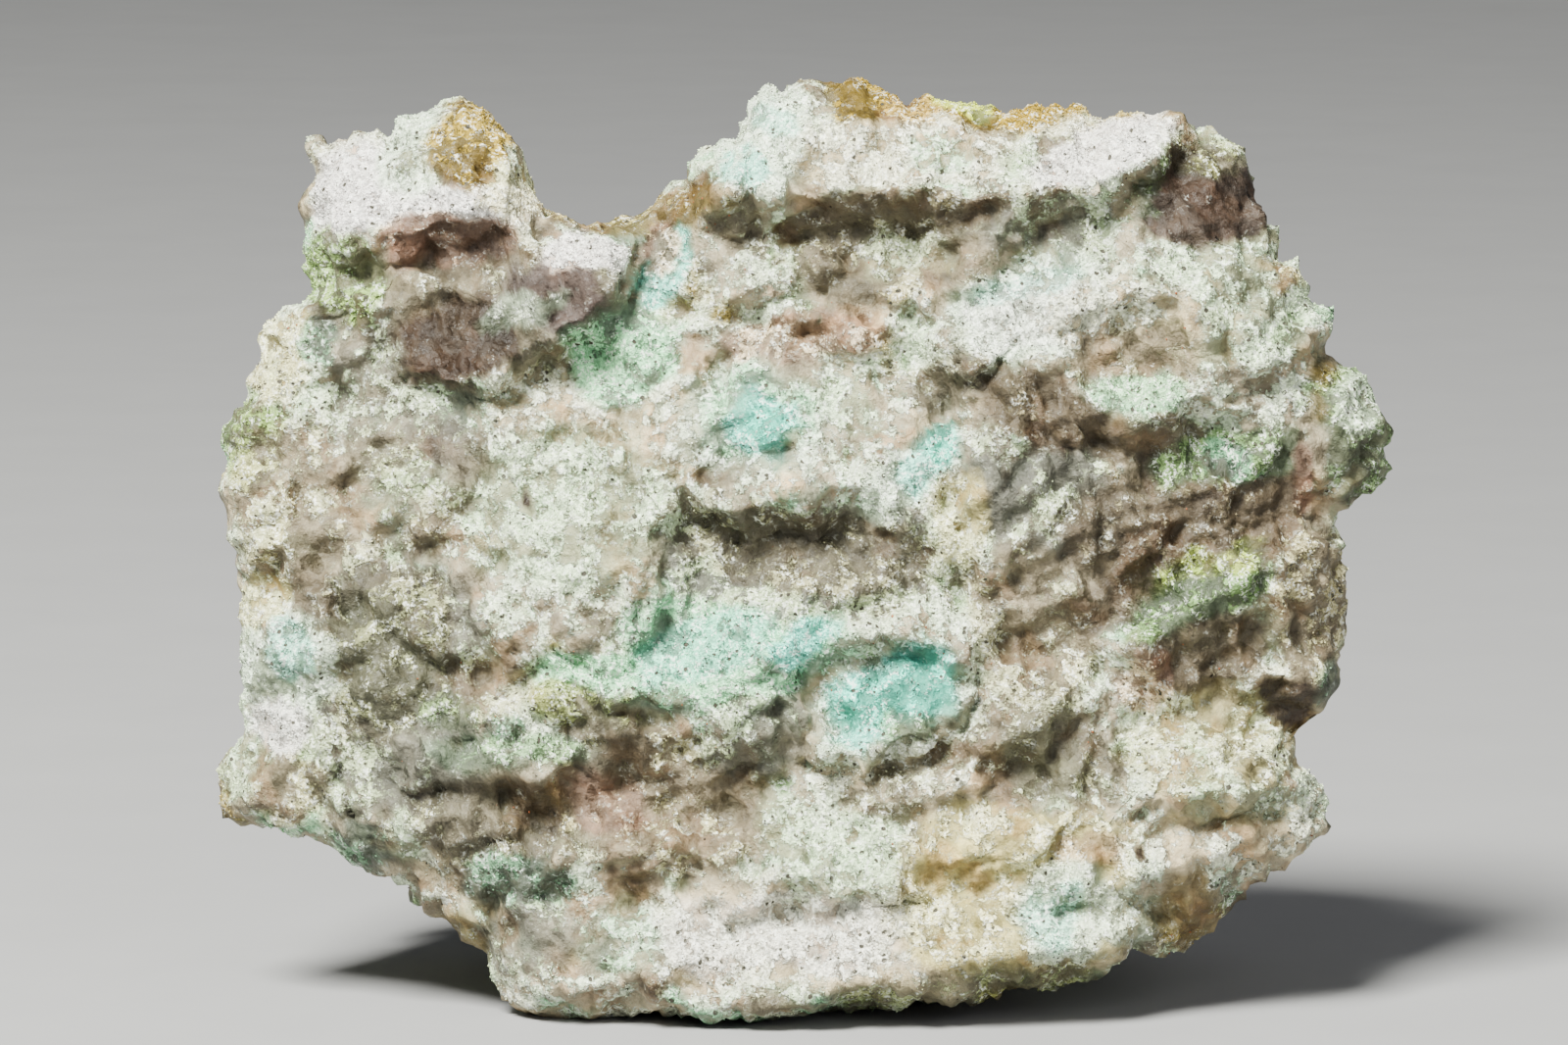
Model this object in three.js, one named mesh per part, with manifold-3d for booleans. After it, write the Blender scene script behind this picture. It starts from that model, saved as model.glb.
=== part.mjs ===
// A rough hand specimen of donbassite grown through quartz: one broken stone that stands on a small flat
// spot with its broad face leaning back. Everything is in millimetres, +Z up, and the face looks along -Y.
// The origin is the middle of the flat spot. The stone is first shaped upright in its own face plane:
// x across, v up the face, and depth from the face plane towards the back, and is then leant back.
import * as THREE from "three";
import Module from "manifold-3d";

// Driving dimensions.
const LEAN_DEG = 8;
const FLAT_SPOT = { x: -1, y: 21, halfWidth: 22, halfDepth: 16 }; // before the origin moves to its middle
const UNDERSIDE_RISE = 3; // how far the underside rises from the flat spot's middle to its edge
const UNDERSIDE_WAVE = { height: 0.8, size: 9 };
const UNDERSIDE_TOP = 20; // nothing of the underside is higher than this over the floor
const FACE_FLOOR = -7; // height of the face where no ridge reaches
const FACE_RELIEF = { gain: 1.45, level: -1 }; // heights on the face are stretched about this level
const CREST_WANDER = { reach: 1.9, size: 6 }; // how far the ridges stray sideways from their drawn runs
const FACE_BLOCKS = { size: 8, lift: 1.7, tilt: 0.9, bow: 1 };
const FACE_SCOOPS = { size: 4.6, lift: -1, tilt: 0.8, bow: 0.9 };
const RIM_BEVEL = { depth: 4, reach: 1.5 };
const SIDE_BITE = 6; // how far the broken sides are bitten in between the face and the back
const SIDE_BLOCKS = { size: 12, lift: 1, tilt: 1, bow: 0.9 };
const BACK_DEPTH = { atFoot: 44, lossPerHeight: 0.2 };
const BACK_BEVEL = { depth: 5, reach: 5 };
const BACK_LUMPS = { size: 26, lift: 8, tilt: 1.1, bow: 0.9 };
const BACK_SCOOPS = { size: 11, lift: -2.6, tilt: 0.8, bow: 0.9 };
const BACK_SHRINK = 0.82; // the back's outline against the face's, about this centre
const BACK_CENTRE = { x: 1, v: 14 };
const EVENING = 3; // neighbours averaged on each side for the outline behind the face, in points
const FACE_MIDDLE_V = 45;

// Facets: the back has half the face's columns and rows, and the sides go over to it part of the way back.
const COLUMNS = 56;
const ROWS = 44;
const RIM_BANDS_FULL = 6;
const RIM_BANDS_HALF = 5;

// The stone's outline in the face plane, as [x, v], one run of points for each side.
const OUTLINE = {
  top: [
    [-48.1, 89.9], [-46.5, 88.9], [-43, 90.1], [-39.8, 90.4], [-39.2, 92.2], [-37.2, 92.4], [-34.6, 93.6],
    [-32.5, 94.3], [-31.6, 93.4], [-29.6, 92.2], [-28.4, 90.8], [-27.5, 88.2], [-26.5, 84.8], [-25.6, 82.6],
    [-23.8, 81.6], [-21.9, 82.1], [-19.8, 81.2], [-18.5, 80.8], [-17, 81.8], [-15, 82.5], [-12.8, 83.3],
    [-11.5, 84.6], [-9.8, 85.2], [-8.8, 87], [-7.6, 88.7], [-6, 89.8], [-4.8, 89.8], [-4.6, 91.2],
    [-3.6, 92.2], [-3.2, 94.2], [-2, 94.9], [0, 94.6], [1.6, 95.6], [4, 95.5], [5.3, 95.2], [6.5, 95.8],
    [8.5, 95.7], [10.2, 95], [12, 93.9], [15, 94.1], [18, 93.6], [21.3, 93.1], [22.6, 92.4], [24.8, 92.9],
    [26.5, 93.3], [30.1, 93.1], [31.3, 92.1], [34, 92], [37.8, 92.5], [40.2, 92.5], [41.3, 91],
    [43.4, 90.5], [45.4, 89.9], [47, 88.9],
  ],
  right: [
    [47, 88.9], [47.3, 86.8], [48.6, 83.8], [48.9, 81.6], [50.1, 80.4], [50.9, 79.2], [50.6, 77.4],
    [52, 77], [53.1, 75.4], [53.8, 73.6], [55.8, 72.4], [55.8, 70.2], [55.2, 68], [57, 67.2], [59, 65.4],
    [60.1, 63.8], [61.8, 61.4], [62.1, 59.8], [61.4, 58.4], [61.8, 56.2], [61.2, 55], [59.6, 54.1],
    [57.6, 52.8], [56.3, 51.6], [56.8, 49.4], [57.6, 46], [57.8, 43.2], [57, 40.4], [56.6, 36.8],
    [56.8, 34.8], [56.2, 32.6], [54.6, 31.4], [53.5, 30.5], [51.8, 29.2], [52, 27.6], [52.8, 26],
    [54.3, 23.9], [55.5, 22], [55.3, 20.6], [55.7, 19.8],
  ],
  bottom: [
    [-57.5, 20.5], [-56, 19.9], [-53, 19.6], [-51.4, 18.7], [-48.7, 18.6], [-46.6, 18], [-45.4, 17],
    [-44.2, 15.3], [-42.2, 14.9], [-40, 14.7], [-39, 13.4], [-38, 11.9], [-35.6, 10.8], [-34.2, 9.8],
    [-32.4, 7.8], [-30.6, 6.4], [-29.6, 4], [-28.2, 2.2], [-26.6, 0.8], [-24.4, -0.2], [-22.4, -0.4],
    [-20, 0.2], [-17, 0.4], [-14, 0.8], [-10, 0.7], [-6, 0.4], [-2.8, 0], [0, 0.4], [2.2, 0.6], [3.4, 1.3],
    [6, 1.4], [10, 1.7], [15, 1.9], [19, 1.9], [23, 3], [29, 3.4], [32, 4.4], [34.2, 6], [34.8, 7],
    [37, 6.8], [39.4, 6.4], [41.4, 7.2], [42.8, 8.8], [44.9, 10.8], [46.6, 12.4], [49.2, 14.2],
    [52.2, 16.4], [54.2, 18], [55.7, 19.8],
  ],
  left: [
    [-48.1, 89.9], [-48.4, 87], [-49, 84], [-49, 80.8], [-48.7, 78], [-49, 76.4], [-48.7, 74.4],
    [-51, 72.2], [-53, 71.4], [-53.9, 70.3], [-53.6, 67.4], [-54.6, 65.4], [-54.8, 63.6], [-56.4, 62.6],
    [-57.2, 60], [-57.4, 57], [-57.8, 54], [-56.8, 52], [-56.8, 49.4], [-55.8, 46.4], [-55.6, 42],
    [-55.6, 38], [-55.2, 34], [-55.4, 31.4], [-55.2, 28.6], [-56.8, 27], [-58.5, 25.6], [-58, 23.2],
    [-57.5, 20.5],
  ],
};

// The ridges of the face, drawn from its left to its right as they show: each crest as [x, v, height over
// the face plane], and how steeply the rock falls off to the left and to the right of the crest's run.
const RIDGES = [
  { name: "knob top", left: 0.5, right: 0.25, line: [
    [-47, 88, -3], [-40, 88.5, -2.5], [-36, 91, -2.5], [-33, 93, -3],
  ] },
  { name: "knob brow", left: 0.36, right: 0.75, line: [
    [-47, 79.5, -1.5], [-42, 80.5, 0.5], [-38, 80.5, 1.5], [-30, 81.5, 2.2], [-24, 81, 1.6],
    [-18, 77.5, 1.2],
  ] },
  { name: "knob peak", left: 0.87, right: 0.4, line: [
    [-34, 93.7, -3], [-33.6, 89.7, -0.8], [-31.3, 87.3, 0.8], [-27.5, 84.5, 1.2],
  ] },
  { name: "knob left edge", left: 0.12, right: 1.04, line: [
    [-46.5, 89, -3.5], [-45.5, 85, -2], [-47.5, 80.5, -2], [-48.5, 75, -2.5],
  ] },
  { name: "knob middle", left: 0.43, right: 0.5, line: [
    [-44, 73, -1], [-38, 72.5, 0.5], [-33, 74.5, 1.5], [-26, 73, 2.5], [-21, 74, 3],
  ] },
  { name: "knob lower edge", left: 0.25, right: 1.41, line: [
    [-37, 66.5, 0.8], [-32, 66, 2], [-28, 66.5, 2.8], [-24, 68.5, 3.4], [-20, 71, 3.6],
    [-18, 73, 3.6], [-16.8, 78, 2.6],
  ] },
  { name: "left shoulder", left: 0.5, right: 0.43, line: [
    [-53, 67.5, -6.5], [-49, 66.5, -4], [-44, 66, -2], [-39, 64, -0.5],
  ] },
  { name: "left slab", left: 1.04, right: 0.32, line: [
    [-55, 61.8, -5.5], [-50, 61, -3], [-46, 60, -1.2], [-44, 57, -0.6], [-44.5, 53.5, -0.8],
  ] },
  { name: "left cobble", left: 0.43, right: 0.5, line: [
    [-56, 51.5, -5.5], [-53, 53.5, -3], [-50, 54.5, -1.6], [-45.5, 53.5, -0.9],
  ] },
  { name: "main left edge", left: 0.29, right: 1.41, line: [
    [-45.5, 47, -0.3], [-45.8, 43.5, 0], [-46, 40, -0.3], [-49, 34, -1], [-46, 29, 0],
    [-47, 25, -0.5], [-44.5, 18, -0.5], [-40, 15, -0.8],
  ] },
  { name: "left mint field", left: 0.43, right: 0.43, line: [
    [-54, 45, -6], [-51, 40, -4.5], [-52, 35, -5], [-51, 31, -5],
  ] },
  { name: "small cuboid lip", left: 0.32, right: 1.81, line: [
    [-54.2, 27.6, -5.5], [-48.2, 27.2, -4.2],
  ] },
  { name: "rear block", left: 0.75, right: 0.16, line: [
    [-58, 24.6, -9.5], [-52, 24, -9], [-46, 23, -8],
  ] },
  { name: "centre left edge", left: 1.15, right: 0.16, line: [
    [-9.6, 55.4, 3], [-12.2, 50, 3.8], [-13.2, 44.5, 4], [-15.2, 37.5, 3.4],
  ] },
  { name: "left crest", left: 0.36, right: 0.29, line: [
    [-44, 52, -0.5], [-39, 50.5, 1], [-33, 49, 1.8], [-26, 47.5, 2.4],
  ] },
  { name: "left mid crest", left: 0.36, right: 0.4, line: [
    [-40, 60, 0], [-33, 58, 1.2], [-27, 57.5, 1.8], [-24, 60.5, 1.5],
  ] },
  { name: "centre left brow", left: 0.32, right: 0.5, line: [
    [-26, 47, 2.6], [-20, 46, 3.2], [-15, 46.5, 3.8],
  ] },
  { name: "lump lower", left: 0.14, right: 0.69, line: [
    [-34, 38, 1.8], [-30, 40, 2.6], [-25, 37.5, 3.2], [-17, 37, 3.4],
  ] },
  { name: "left belly", left: 0.29, right: 0.32, line: [
    [-42, 38, 1], [-38, 34, 1.8], [-33, 31, 2.2], [-28, 30, 2.6],
  ] },
  { name: "top ledge", left: 0.4, right: 0.93, line: [
    [1.5, 84, 3.2], [6, 84.4, 3.8], [12, 83.8, 4.2], [20, 83, 4.2], [24.5, 83.5, 3.8],
  ] },
  { name: "diagonal ridge", left: 0.4, right: 1.04, line: [
    [26, 83.5, 3.6], [31, 84, 3.6], [36, 86.2, 3], [40.5, 90.3, 1],
  ] },
  { name: "lump right edge", left: 0.87, right: 0.29, line: [
    [23.5, 82.8, 3.8], [20.5, 80, 3.4], [18.5, 76, 3], [17.8, 71.5, 2],
  ] },
  { name: "lump lower lip", left: 0.32, right: 0.69, line: [
    [4, 76, 2], [9, 73.5, 2.6], [14, 72.5, 2.8], [17.5, 71.8, 2],
  ] },
  { name: "shelf edge", left: 0.46, right: 0.69, line: [
    [-1, 72, 1.8], [3, 71.2, 2.2], [7, 69.5, 2.6], [11, 70.5, 2],
  ] },
  { name: "round facet", left: 0.36, right: 0.5, line: [[-5, 73, 1.6], [-3, 75, 1.8], [1, 75.5, 1.6]] },
  { name: "right recess sill", left: 0.32, right: 0.63, line: [
    [20, 77, 0.6], [26, 77.5, 1], [32, 75.5, 1.6], [36, 76, 2],
  ] },
  { name: "right vein rib", left: 0.43, right: 0.43, line: [
    [36.2, 83, 1], [35.8, 79, 1.8], [37.5, 75.5, 2.4], [40.5, 71, 3],
  ] },
  { name: "block crest", left: 0.36, right: 0.43, line: [
    [26, 69.5, 3.2], [28, 71.5, 4], [31, 73, 4.4], [36.5, 75, 4.2], [40.5, 71, 3.8], [42.5, 66, 3],
  ] },
  { name: "block left rib", left: 0.25, right: 0.43, line: [
    [28.5, 71.8, 4.2], [26, 67, 4.4], [24, 63, 4],
  ] },
  { name: "block foot", left: 0.32, right: 0.69, line: [
    [26, 62, 4], [32, 60.5, 4], [38, 61.5, 3.6], [42, 64, 3],
  ] },
  { name: "pale facet top", left: 1.04, right: 0.16, line: [
    [20, 61, 3.6], [24, 60.4, 4.2], [30, 58.2, 3.8], [32, 57.8, 3.2],
  ] },
  { name: "pale facet left", left: 0.14, right: 0.5, line: [
    [20, 60.8, 3.6], [20.3, 55, 4.2], [20, 48, 3.6], [20.5, 42, 2.6],
  ] },
  { name: "mint overhang", left: 0.29, right: 1.41, line: [
    [16, 66, 3], [17.5, 65.5, 3.6], [21, 67, 3.8], [25, 69.5, 3.4],
  ] },
  { name: "centre ridge", left: 0.32, right: 0.81, line: [
    [-9.5, 54.5, 2.6], [-4, 52.6, 3.4], [2, 53.5, 4.2], [5, 54.3, 4.4], [9, 54.2, 4.4],
    [12, 52.5, 4.2], [16.5, 48, 3.2],
  ] },
  { name: "centre knoll", left: 0.29, right: 0.32, line: [
    [-2, 60, 2.6], [3, 59, 3.2], [8, 58, 3.6], [12, 60, 3],
  ] },
  { name: "turquoise pocket rim", left: 0.29, right: 0.29, line: [
    [-8, 63, 1.8], [-3, 62, 2], [1, 60.5, 2.6],
  ] },
  { name: "mint field lip", left: 0.43, right: 0.81, line: [
    [-24, 35.5, 3.2], [-19, 34, 3.8], [-15, 33.5, 4.2], [-8, 32.5, 4.6], [-4, 33.5, 4.6],
    [0, 34, 4.2], [3, 38, 3.2],
  ] },
  { name: "mint field rib", left: 0.32, right: 0.36, line: [
    [-6, 33.5, 4.8], [0, 38, 4], [4, 41, 3.4], [10, 43.5, 3],
  ] },
  { name: "pod lip", left: 0.36, right: 1.31, line: [
    [4, 27.5, 4], [7, 26.8, 4.4], [10, 27, 4.6], [13, 28, 4.6], [16, 29.5, 4.2], [18, 32, 3.6],
  ] },
  { name: "pod roof", left: 0.32, right: 1.2, line: [
    [4, 38.5, 3.2], [8, 39, 3.8], [13, 38.5, 3.8], [18.5, 37.5, 3.6], [21, 39, 3.4],
  ] },
  { name: "lower lumps", left: 0.36, right: 0.63, line: [
    [-24, 32.5, 3.2], [-20, 30.5, 3.8], [-15, 29.5, 3.8], [-11, 30, 3.2],
  ] },
  { name: "grey lens", left: 0.36, right: 0.56, line: [
    [-10, 29.5, 3.4], [-5, 29.5, 3.6], [-1, 31, 3.6],
  ] },
  { name: "wedge lip", left: 0.4, right: 0.63, line: [
    [-36, 25.5, 2.4], [-30, 24.5, 3.2], [-24, 25, 3.4], [-21, 27.5, 3],
  ] },
  { name: "round cobble", left: 0.29, right: 0.5, line: [
    [-36, 20, 2], [-32, 21.5, 2.8], [-28, 20, 2.6],
  ] },
  { name: "low brown lip", left: 0.36, right: 0.43, line: [
    [-28, 17, 2.6], [-20, 16.5, 2.8], [-12, 17, 2.6], [-5, 18, 2.8],
  ] },
  { name: "white slope top", left: 0.56, right: 0.36, line: [
    [-26, 14, 1.6], [-20, 15, 2.2], [-12, 15.5, 2.4], [-6, 14.5, 2.6],
  ] },
  { name: "low ledge", left: 0.32, right: 1.15, line: [
    [-4, 12.5, 3.2], [0, 14.7, 4], [5, 13.5, 4.2], [12.5, 13.7, 4.2],
  ] },
  { name: "sand bulge", left: 0.32, right: 0.32, line: [
    [10, 18, 3.6], [18, 17, 4], [26, 17.5, 3.8], [30, 21, 3],
  ] },
  { name: "foot front", left: 0.37, right: 1.31, line: [
    [-14, 3.5, 4.4], [-10, 1.5, 4.8], [-4, 1, 5.4], [1, 2, 5.4], [5, 3, 5.4], [14, 4, 5.8],
    [20, 5.5, 5.8], [26, 6.5, 5.2], [34, 7, 4],
  ] },
  { name: "foot left", left: 0.32, right: 1.04, line: [
    [-33, 11.5, -0.5], [-28.5, 5.5, 1.2], [-24, 3.5, 2.6], [-18, 4, 3.2], [-14, 5, 3.4],
  ] },
  { name: "foot left rib", left: 0.36, right: 0.36, line: [[-28, 14, 1], [-22, 9, 2.6], [-16, 6, 3.6]] },
  { name: "spur ledge", left: 0.43, right: 0.93, line: [
    [36, 22, 3], [38.5, 22.8, 3.2], [43, 24, 3.2], [49, 23.2, 1.8], [53.5, 24, 0],
  ] },
  { name: "spur low", left: 0.43, right: 0.43, line: [
    [32, 13.5, 3.2], [38, 16, 2.8], [47, 19, 1.2], [55, 20.5, -1],
  ] },
  { name: "lower right rib", left: 0.36, right: 0.36, line: [
    [24, 12, 4], [30, 14, 3.6], [34, 19, 3], [30, 24, 3],
  ] },
  { name: "right band", left: 0.43, right: 0.56, line: [
    [35, 52.5, 2.4], [41, 54, 2.4], [50, 57, 1.2], [54.5, 59, -0.5],
  ] },
  { name: "right mid rib", left: 0.36, right: 0.43, line: [
    [22, 44, 2.8], [28, 46, 2.8], [34, 47, 2.6], [40, 47.5, 2],
  ] },
  { name: "green strip lip", left: 0.63, right: 0.36, line: [
    [35, 38.5, 3.2], [43, 42, 2.8], [49, 47.5, 1.6], [51, 48.5, 1],
  ] },
  { name: "right white edge", left: 0.69, right: 0.29, line: [
    [50.5, 48.5, 1], [51.5, 42, 0.6], [52, 36, 0],
  ] },
  { name: "cave brow", left: 0.29, right: 1.09, line: [
    [42, 35, 1.4], [47.5, 34.5, 0.8], [51, 34.8, 0],
  ] },
  { name: "right quartz lobe", left: 0.63, right: 0.29, line: [
    [55, 50, -3.5], [56, 42, -4], [55.5, 33, -5],
  ] },
  { name: "right lobe", left: 0.5, right: 0.29, line: [
    [56, 66, -10], [59.5, 62, -9.5], [60, 57, -9.5], [58, 53, -10],
  ] },
  { name: "right field lip", left: 0.4, right: 0.63, line: [
    [41.5, 67.5, 2.8], [45, 66.8, 2.6], [49, 66.8, 2], [55.3, 70.5, -0.5],
  ] },
  { name: "right field lumps", left: 0.36, right: 0.63, line: [
    [43, 63, 2.2], [48, 61.5, 1.6], [53.5, 62.5, 0],
  ] },
  { name: "right field top", left: 0.5, right: 0.25, line: [
    [37, 77.5, 1], [43, 79, 0.5], [49, 79, -1],
  ] },
  { name: "top chunk", left: 0.29, right: 0.93, line: [
    [-3, 92.5, -1], [-4.3, 89, 1.6], [-4.5, 85, 3.2], [0, 83.8, 3.6],
  ] },
  { name: "top chunk groove", left: 0.29, right: 0.29, line: [[0.5, 93, 0], [1.5, 88, 2.6]] },
  { name: "upper centre", left: 0.29, right: 0.36, line: [
    [-14, 76, 0.2], [-8, 72, 1.2], [-2, 68, 2], [2, 62, 2.6],
  ] },
  { name: "mint slope", left: 0.29, right: 0.29, line: [[-18, 68, 0], [-13, 66, 1], [-10, 60, 2]] },
  { name: "lower centre rib", left: 0.43, right: 0.43, line: [
    [8, 22, 3.4], [16, 24, 3.6], [22, 28, 3.4], [27, 33, 3],
  ] },
];

const LEAN = THREE.MathUtils.degToRad(LEAN_DEG);

// A point of the upright face plane, leant back and moved so that the flat spot's middle is the origin.
function leant(x, v, depth) {
  return new THREE.Vector3(
    x - FLAT_SPOT.x,
    depth * Math.cos(LEAN) + v * Math.sin(LEAN) - FLAT_SPOT.y,
    v * Math.cos(LEAN) - depth * Math.sin(LEAN),
  );
}

// Noise from a lattice of whole numbers, between 0 and 1.
function hashed(ix, iy, iz, seed) {
  let h = Math.imul(ix, 374761393) ^ Math.imul(iy, 668265263) ^ Math.imul(iz, 2246822519);
  h ^= Math.imul(seed, 3266489917);
  h = Math.imul(h ^ (h >>> 15), 2246822519);
  h = Math.imul(h ^ (h >>> 13), 3266489917);
  return ((h ^ (h >>> 16)) >>> 0) / 4294967296;
}

// Smooth noise between -1 and 1 that changes over about one size.
function smoothNoise(x, y, z, size, seed) {
  const place = [x / size, y / size, z / size];
  const cell = place.map(Math.floor);
  const ease = place.map((p, k) => THREE.MathUtils.smoothstep(p - cell[k], 0, 1));
  let total = 0;
  for (let corner = 0; corner < 8; corner++) {
    const step = [corner & 1, (corner >> 1) & 1, (corner >> 2) & 1];
    const weight = step.reduce((w, s, k) => w * (s ? ease[k] : 1 - ease[k]), 1);
    total += weight * hashed(cell[0] + step[0], cell[1] + step[1], cell[2] + step[2], seed);
  }
  return 2 * total - 1;
}

function fractalNoise(x, y, z, size, seed, octaves) {
  const gain = 0.6;
  let total = 0;
  let weight = 1;
  let sum = 0;
  for (let k = 0; k < octaves; k++) {
    total += weight * smoothNoise(x, y, z, size / 2 ** k, seed + k);
    sum += weight;
    weight *= gain;
  }
  return total / sum;
}

// Broken blocks, or scoops where their lift is negative: the greatest of one tilted, bowed plane for each
// cell of a jittered lattice.
function chipped(x, y, z, grain, seed) {
  const [px, py, pz] = [x / grain.size, y / grain.size, z / grain.size];
  const [cx, cy, cz] = [Math.floor(px), Math.floor(py), Math.floor(pz)];
  let best = -Infinity;
  for (let n = 0; n < 27; n++) {
    const i = cx + (n % 3) - 1;
    const j = cy + (Math.floor(n / 3) % 3) - 1;
    const k = cz + Math.floor(n / 9) - 1;
    const random = (m) => hashed(i, j, k, seed + m);
    const ox = px - i - random(0);
    const oy = py - j - random(1);
    const oz = pz - k - random(2);
    const slant = ox * (2 * random(3) - 1) + oy * (2 * random(4) - 1) + oz * (2 * random(5) - 1);
    const plane = grain.tilt * slant - grain.bow * (ox * ox + oy * oy + oz * oz) + 0.4 * random(6);
    best = Math.max(best, plane);
  }
  return grain.lift * best;
}

// The nearest place on the run from a to b: its share of the run, and the offset from it.
function nearestOnRun(x, v, a, b) {
  const dx = b[0] - a[0];
  const dv = b[1] - a[1];
  const length = Math.hypot(dx, dv);
  const share = THREE.MathUtils.clamp(((x - a[0]) * dx + (v - a[1]) * dv) / length ** 2, 0, 1);
  const ox = x - a[0] - share * dx;
  const ov = v - a[1] - share * dv;
  return { share, distance: Math.hypot(ox, ov), cross: (dx * ov - dv * ox) / length };
}

// Height of a ridge's roof: it falls from the crest by its own slope on each side.
function ridgeHeight(ridge, x, v) {
  let best = -Infinity;
  for (let k = 1; k < ridge.line.length; k++) {
    const a = ridge.line[k - 1];
    const b = ridge.line[k];
    const near = nearestOnRun(x, v, a, b);
    const side = near.cross / Math.max(near.distance, 1e-9);
    const slope = THREE.MathUtils.lerp(ridge.right, ridge.left, 0.5 + 0.5 * side);
    const crest = THREE.MathUtils.lerp(a[2], b[2], near.share);
    best = Math.max(best, crest - slope * near.distance);
  }
  return best;
}

// The outline as one closed run, clockwise from the top left corner.
const RING = [
  ...OUTLINE.top,
  ...OUTLINE.right.slice(1),
  ...OUTLINE.bottom.slice(1, -1).reverse(),
  ...OUTLINE.left.slice(1).reverse(),
];

function outlineDistance(x, v) {
  let best = Infinity;
  RING.forEach((a, k) => {
    best = Math.min(best, nearestOnRun(x, v, a, RING[(k + 1) % RING.length]).distance);
  });
  return best;
}

// Depth of the broken face behind the face plane: the highest of the ridges, whose crests stray from their
// runs, stretched in height, bevelled at the outline and chipped in blocks and scoops.
function faceDepth(x, v) {
  const strayX = CREST_WANDER.reach * fractalNoise(x, 0, v, CREST_WANDER.size, 11, 3);
  const strayV = CREST_WANDER.reach * fractalNoise(x, 0, v, CREST_WANDER.size, 31, 3);
  const heights = RIDGES.map((ridge) => ridgeHeight(ridge, x + strayX, v + strayV));
  const bevel = RIM_BEVEL.depth * Math.exp(-outlineDistance(x, v) / RIM_BEVEL.reach);
  const drawn = Math.max(FACE_FLOOR, ...heights);
  const height = FACE_RELIEF.level + FACE_RELIEF.gain * (drawn - FACE_RELIEF.level) - bevel;
  return -height - chipped(x, -height, v, FACE_BLOCKS, 51) - chipped(x, -height, v, FACE_SCOOPS, 61);
}

// Depth of the rough back behind the face plane, at a distance inside the back's own outline.
function backDepth(x, v, inside) {
  const sheet = BACK_DEPTH.atFoot - BACK_DEPTH.lossPerHeight * v;
  const bevel = BACK_BEVEL.depth * Math.exp(-inside / BACK_BEVEL.reach);
  return sheet - bevel + chipped(x, sheet, v, BACK_LUMPS, 211) + chipped(x, sheet, v, BACK_SCOOPS, 231);
}

// Points at equal steps along a run that mainly follows one axis: steps across it count for less.
function evenly(run, count, axis) {
  const acrossWeight = 0.4;
  const stepLength = (a, b) => Math.hypot(b[axis] - a[axis], acrossWeight * (b[1 - axis] - a[1 - axis]));
  const lengths = [0];
  for (let k = 1; k < run.length; k++) {
    lengths.push(lengths[k - 1] + stepLength(run[k - 1], run[k]));
  }
  const total = lengths[lengths.length - 1];
  const points = [];
  for (let n = 0; n <= count; n++) {
    const at = (total * n) / count;
    const k = Math.min(Math.max(lengths.findIndex((l) => l >= at), 1), run.length - 1);
    const share = (at - lengths[k - 1]) / (lengths[k] - lengths[k - 1]);
    points.push([0, 1].map((c) => THREE.MathUtils.lerp(run[k - 1][c], run[k][c], share)));
  }
  return points;
}

// The four sides of a patch, from a closed ring of its boundary points that starts at the top left.
function sidesOf(ring, columns, rows) {
  const at = (k) => ring[(k + ring.length) % ring.length];
  return {
    top: (i) => at(i),
    right: (j) => at(columns + j),
    bottom: (i) => at(2 * columns + rows - i),
    left: (j) => at(-j),
  };
}

// A point inside a patch: the corners' mean plus what each side departs from its straight chord by.
function patchPoint(sides, i, j, columns, rows) {
  const s = i / columns;
  const t = j / rows;
  const fade = (u) => (1 - u) ** 1.5;
  return [0, 1].map((c) => {
    const corner = (a, b) => sides[a](b)[c];
    const topChord = THREE.MathUtils.lerp(corner("top", 0), corner("top", columns), s);
    const bottomChord = THREE.MathUtils.lerp(corner("bottom", 0), corner("bottom", columns), s);
    const leftChord = THREE.MathUtils.lerp(corner("left", 0), corner("left", rows), t);
    const rightChord = THREE.MathUtils.lerp(corner("right", 0), corner("right", rows), t);
    return (
      THREE.MathUtils.lerp(topChord, bottomChord, t) +
      fade(t) * (sides.top(i)[c] - topChord) +
      fade(1 - t) * (sides.bottom(i)[c] - bottomChord) +
      fade(s) * (sides.left(j)[c] - leftChord) +
      fade(1 - s) * (sides.right(j)[c] - rightChord)
    );
  });
}

function fromFlatSpot(point) {
  return Math.hypot(point.x / FLAT_SPOT.halfWidth, point.y / FLAT_SPOT.halfDepth);
}

// The least height of the underside over the floor: a shallow cone that dips under it at the flat spot.
function undersideHeight(point) {
  const cone = UNDERSIDE_RISE * (fromFlatSpot(point) - 1);
  return cone + UNDERSIDE_WAVE.height * fractalNoise(point.x, point.y, 0, UNDERSIDE_WAVE.size, 301, 2);
}

// Keeps the underside on its cone near the flat spot, and over it elsewhere.
function onUnderside(point) {
  const lowest = undersideHeight(point);
  const isUnder = point.z < UNDERSIDE_TOP;
  const free = isUnder ? THREE.MathUtils.smoothstep(fromFlatSpot(point), 1, 1.4) : 1;
  point.z = THREE.MathUtils.lerp(lowest, Math.max(point.z, lowest), free);
  return point;
}

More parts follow.
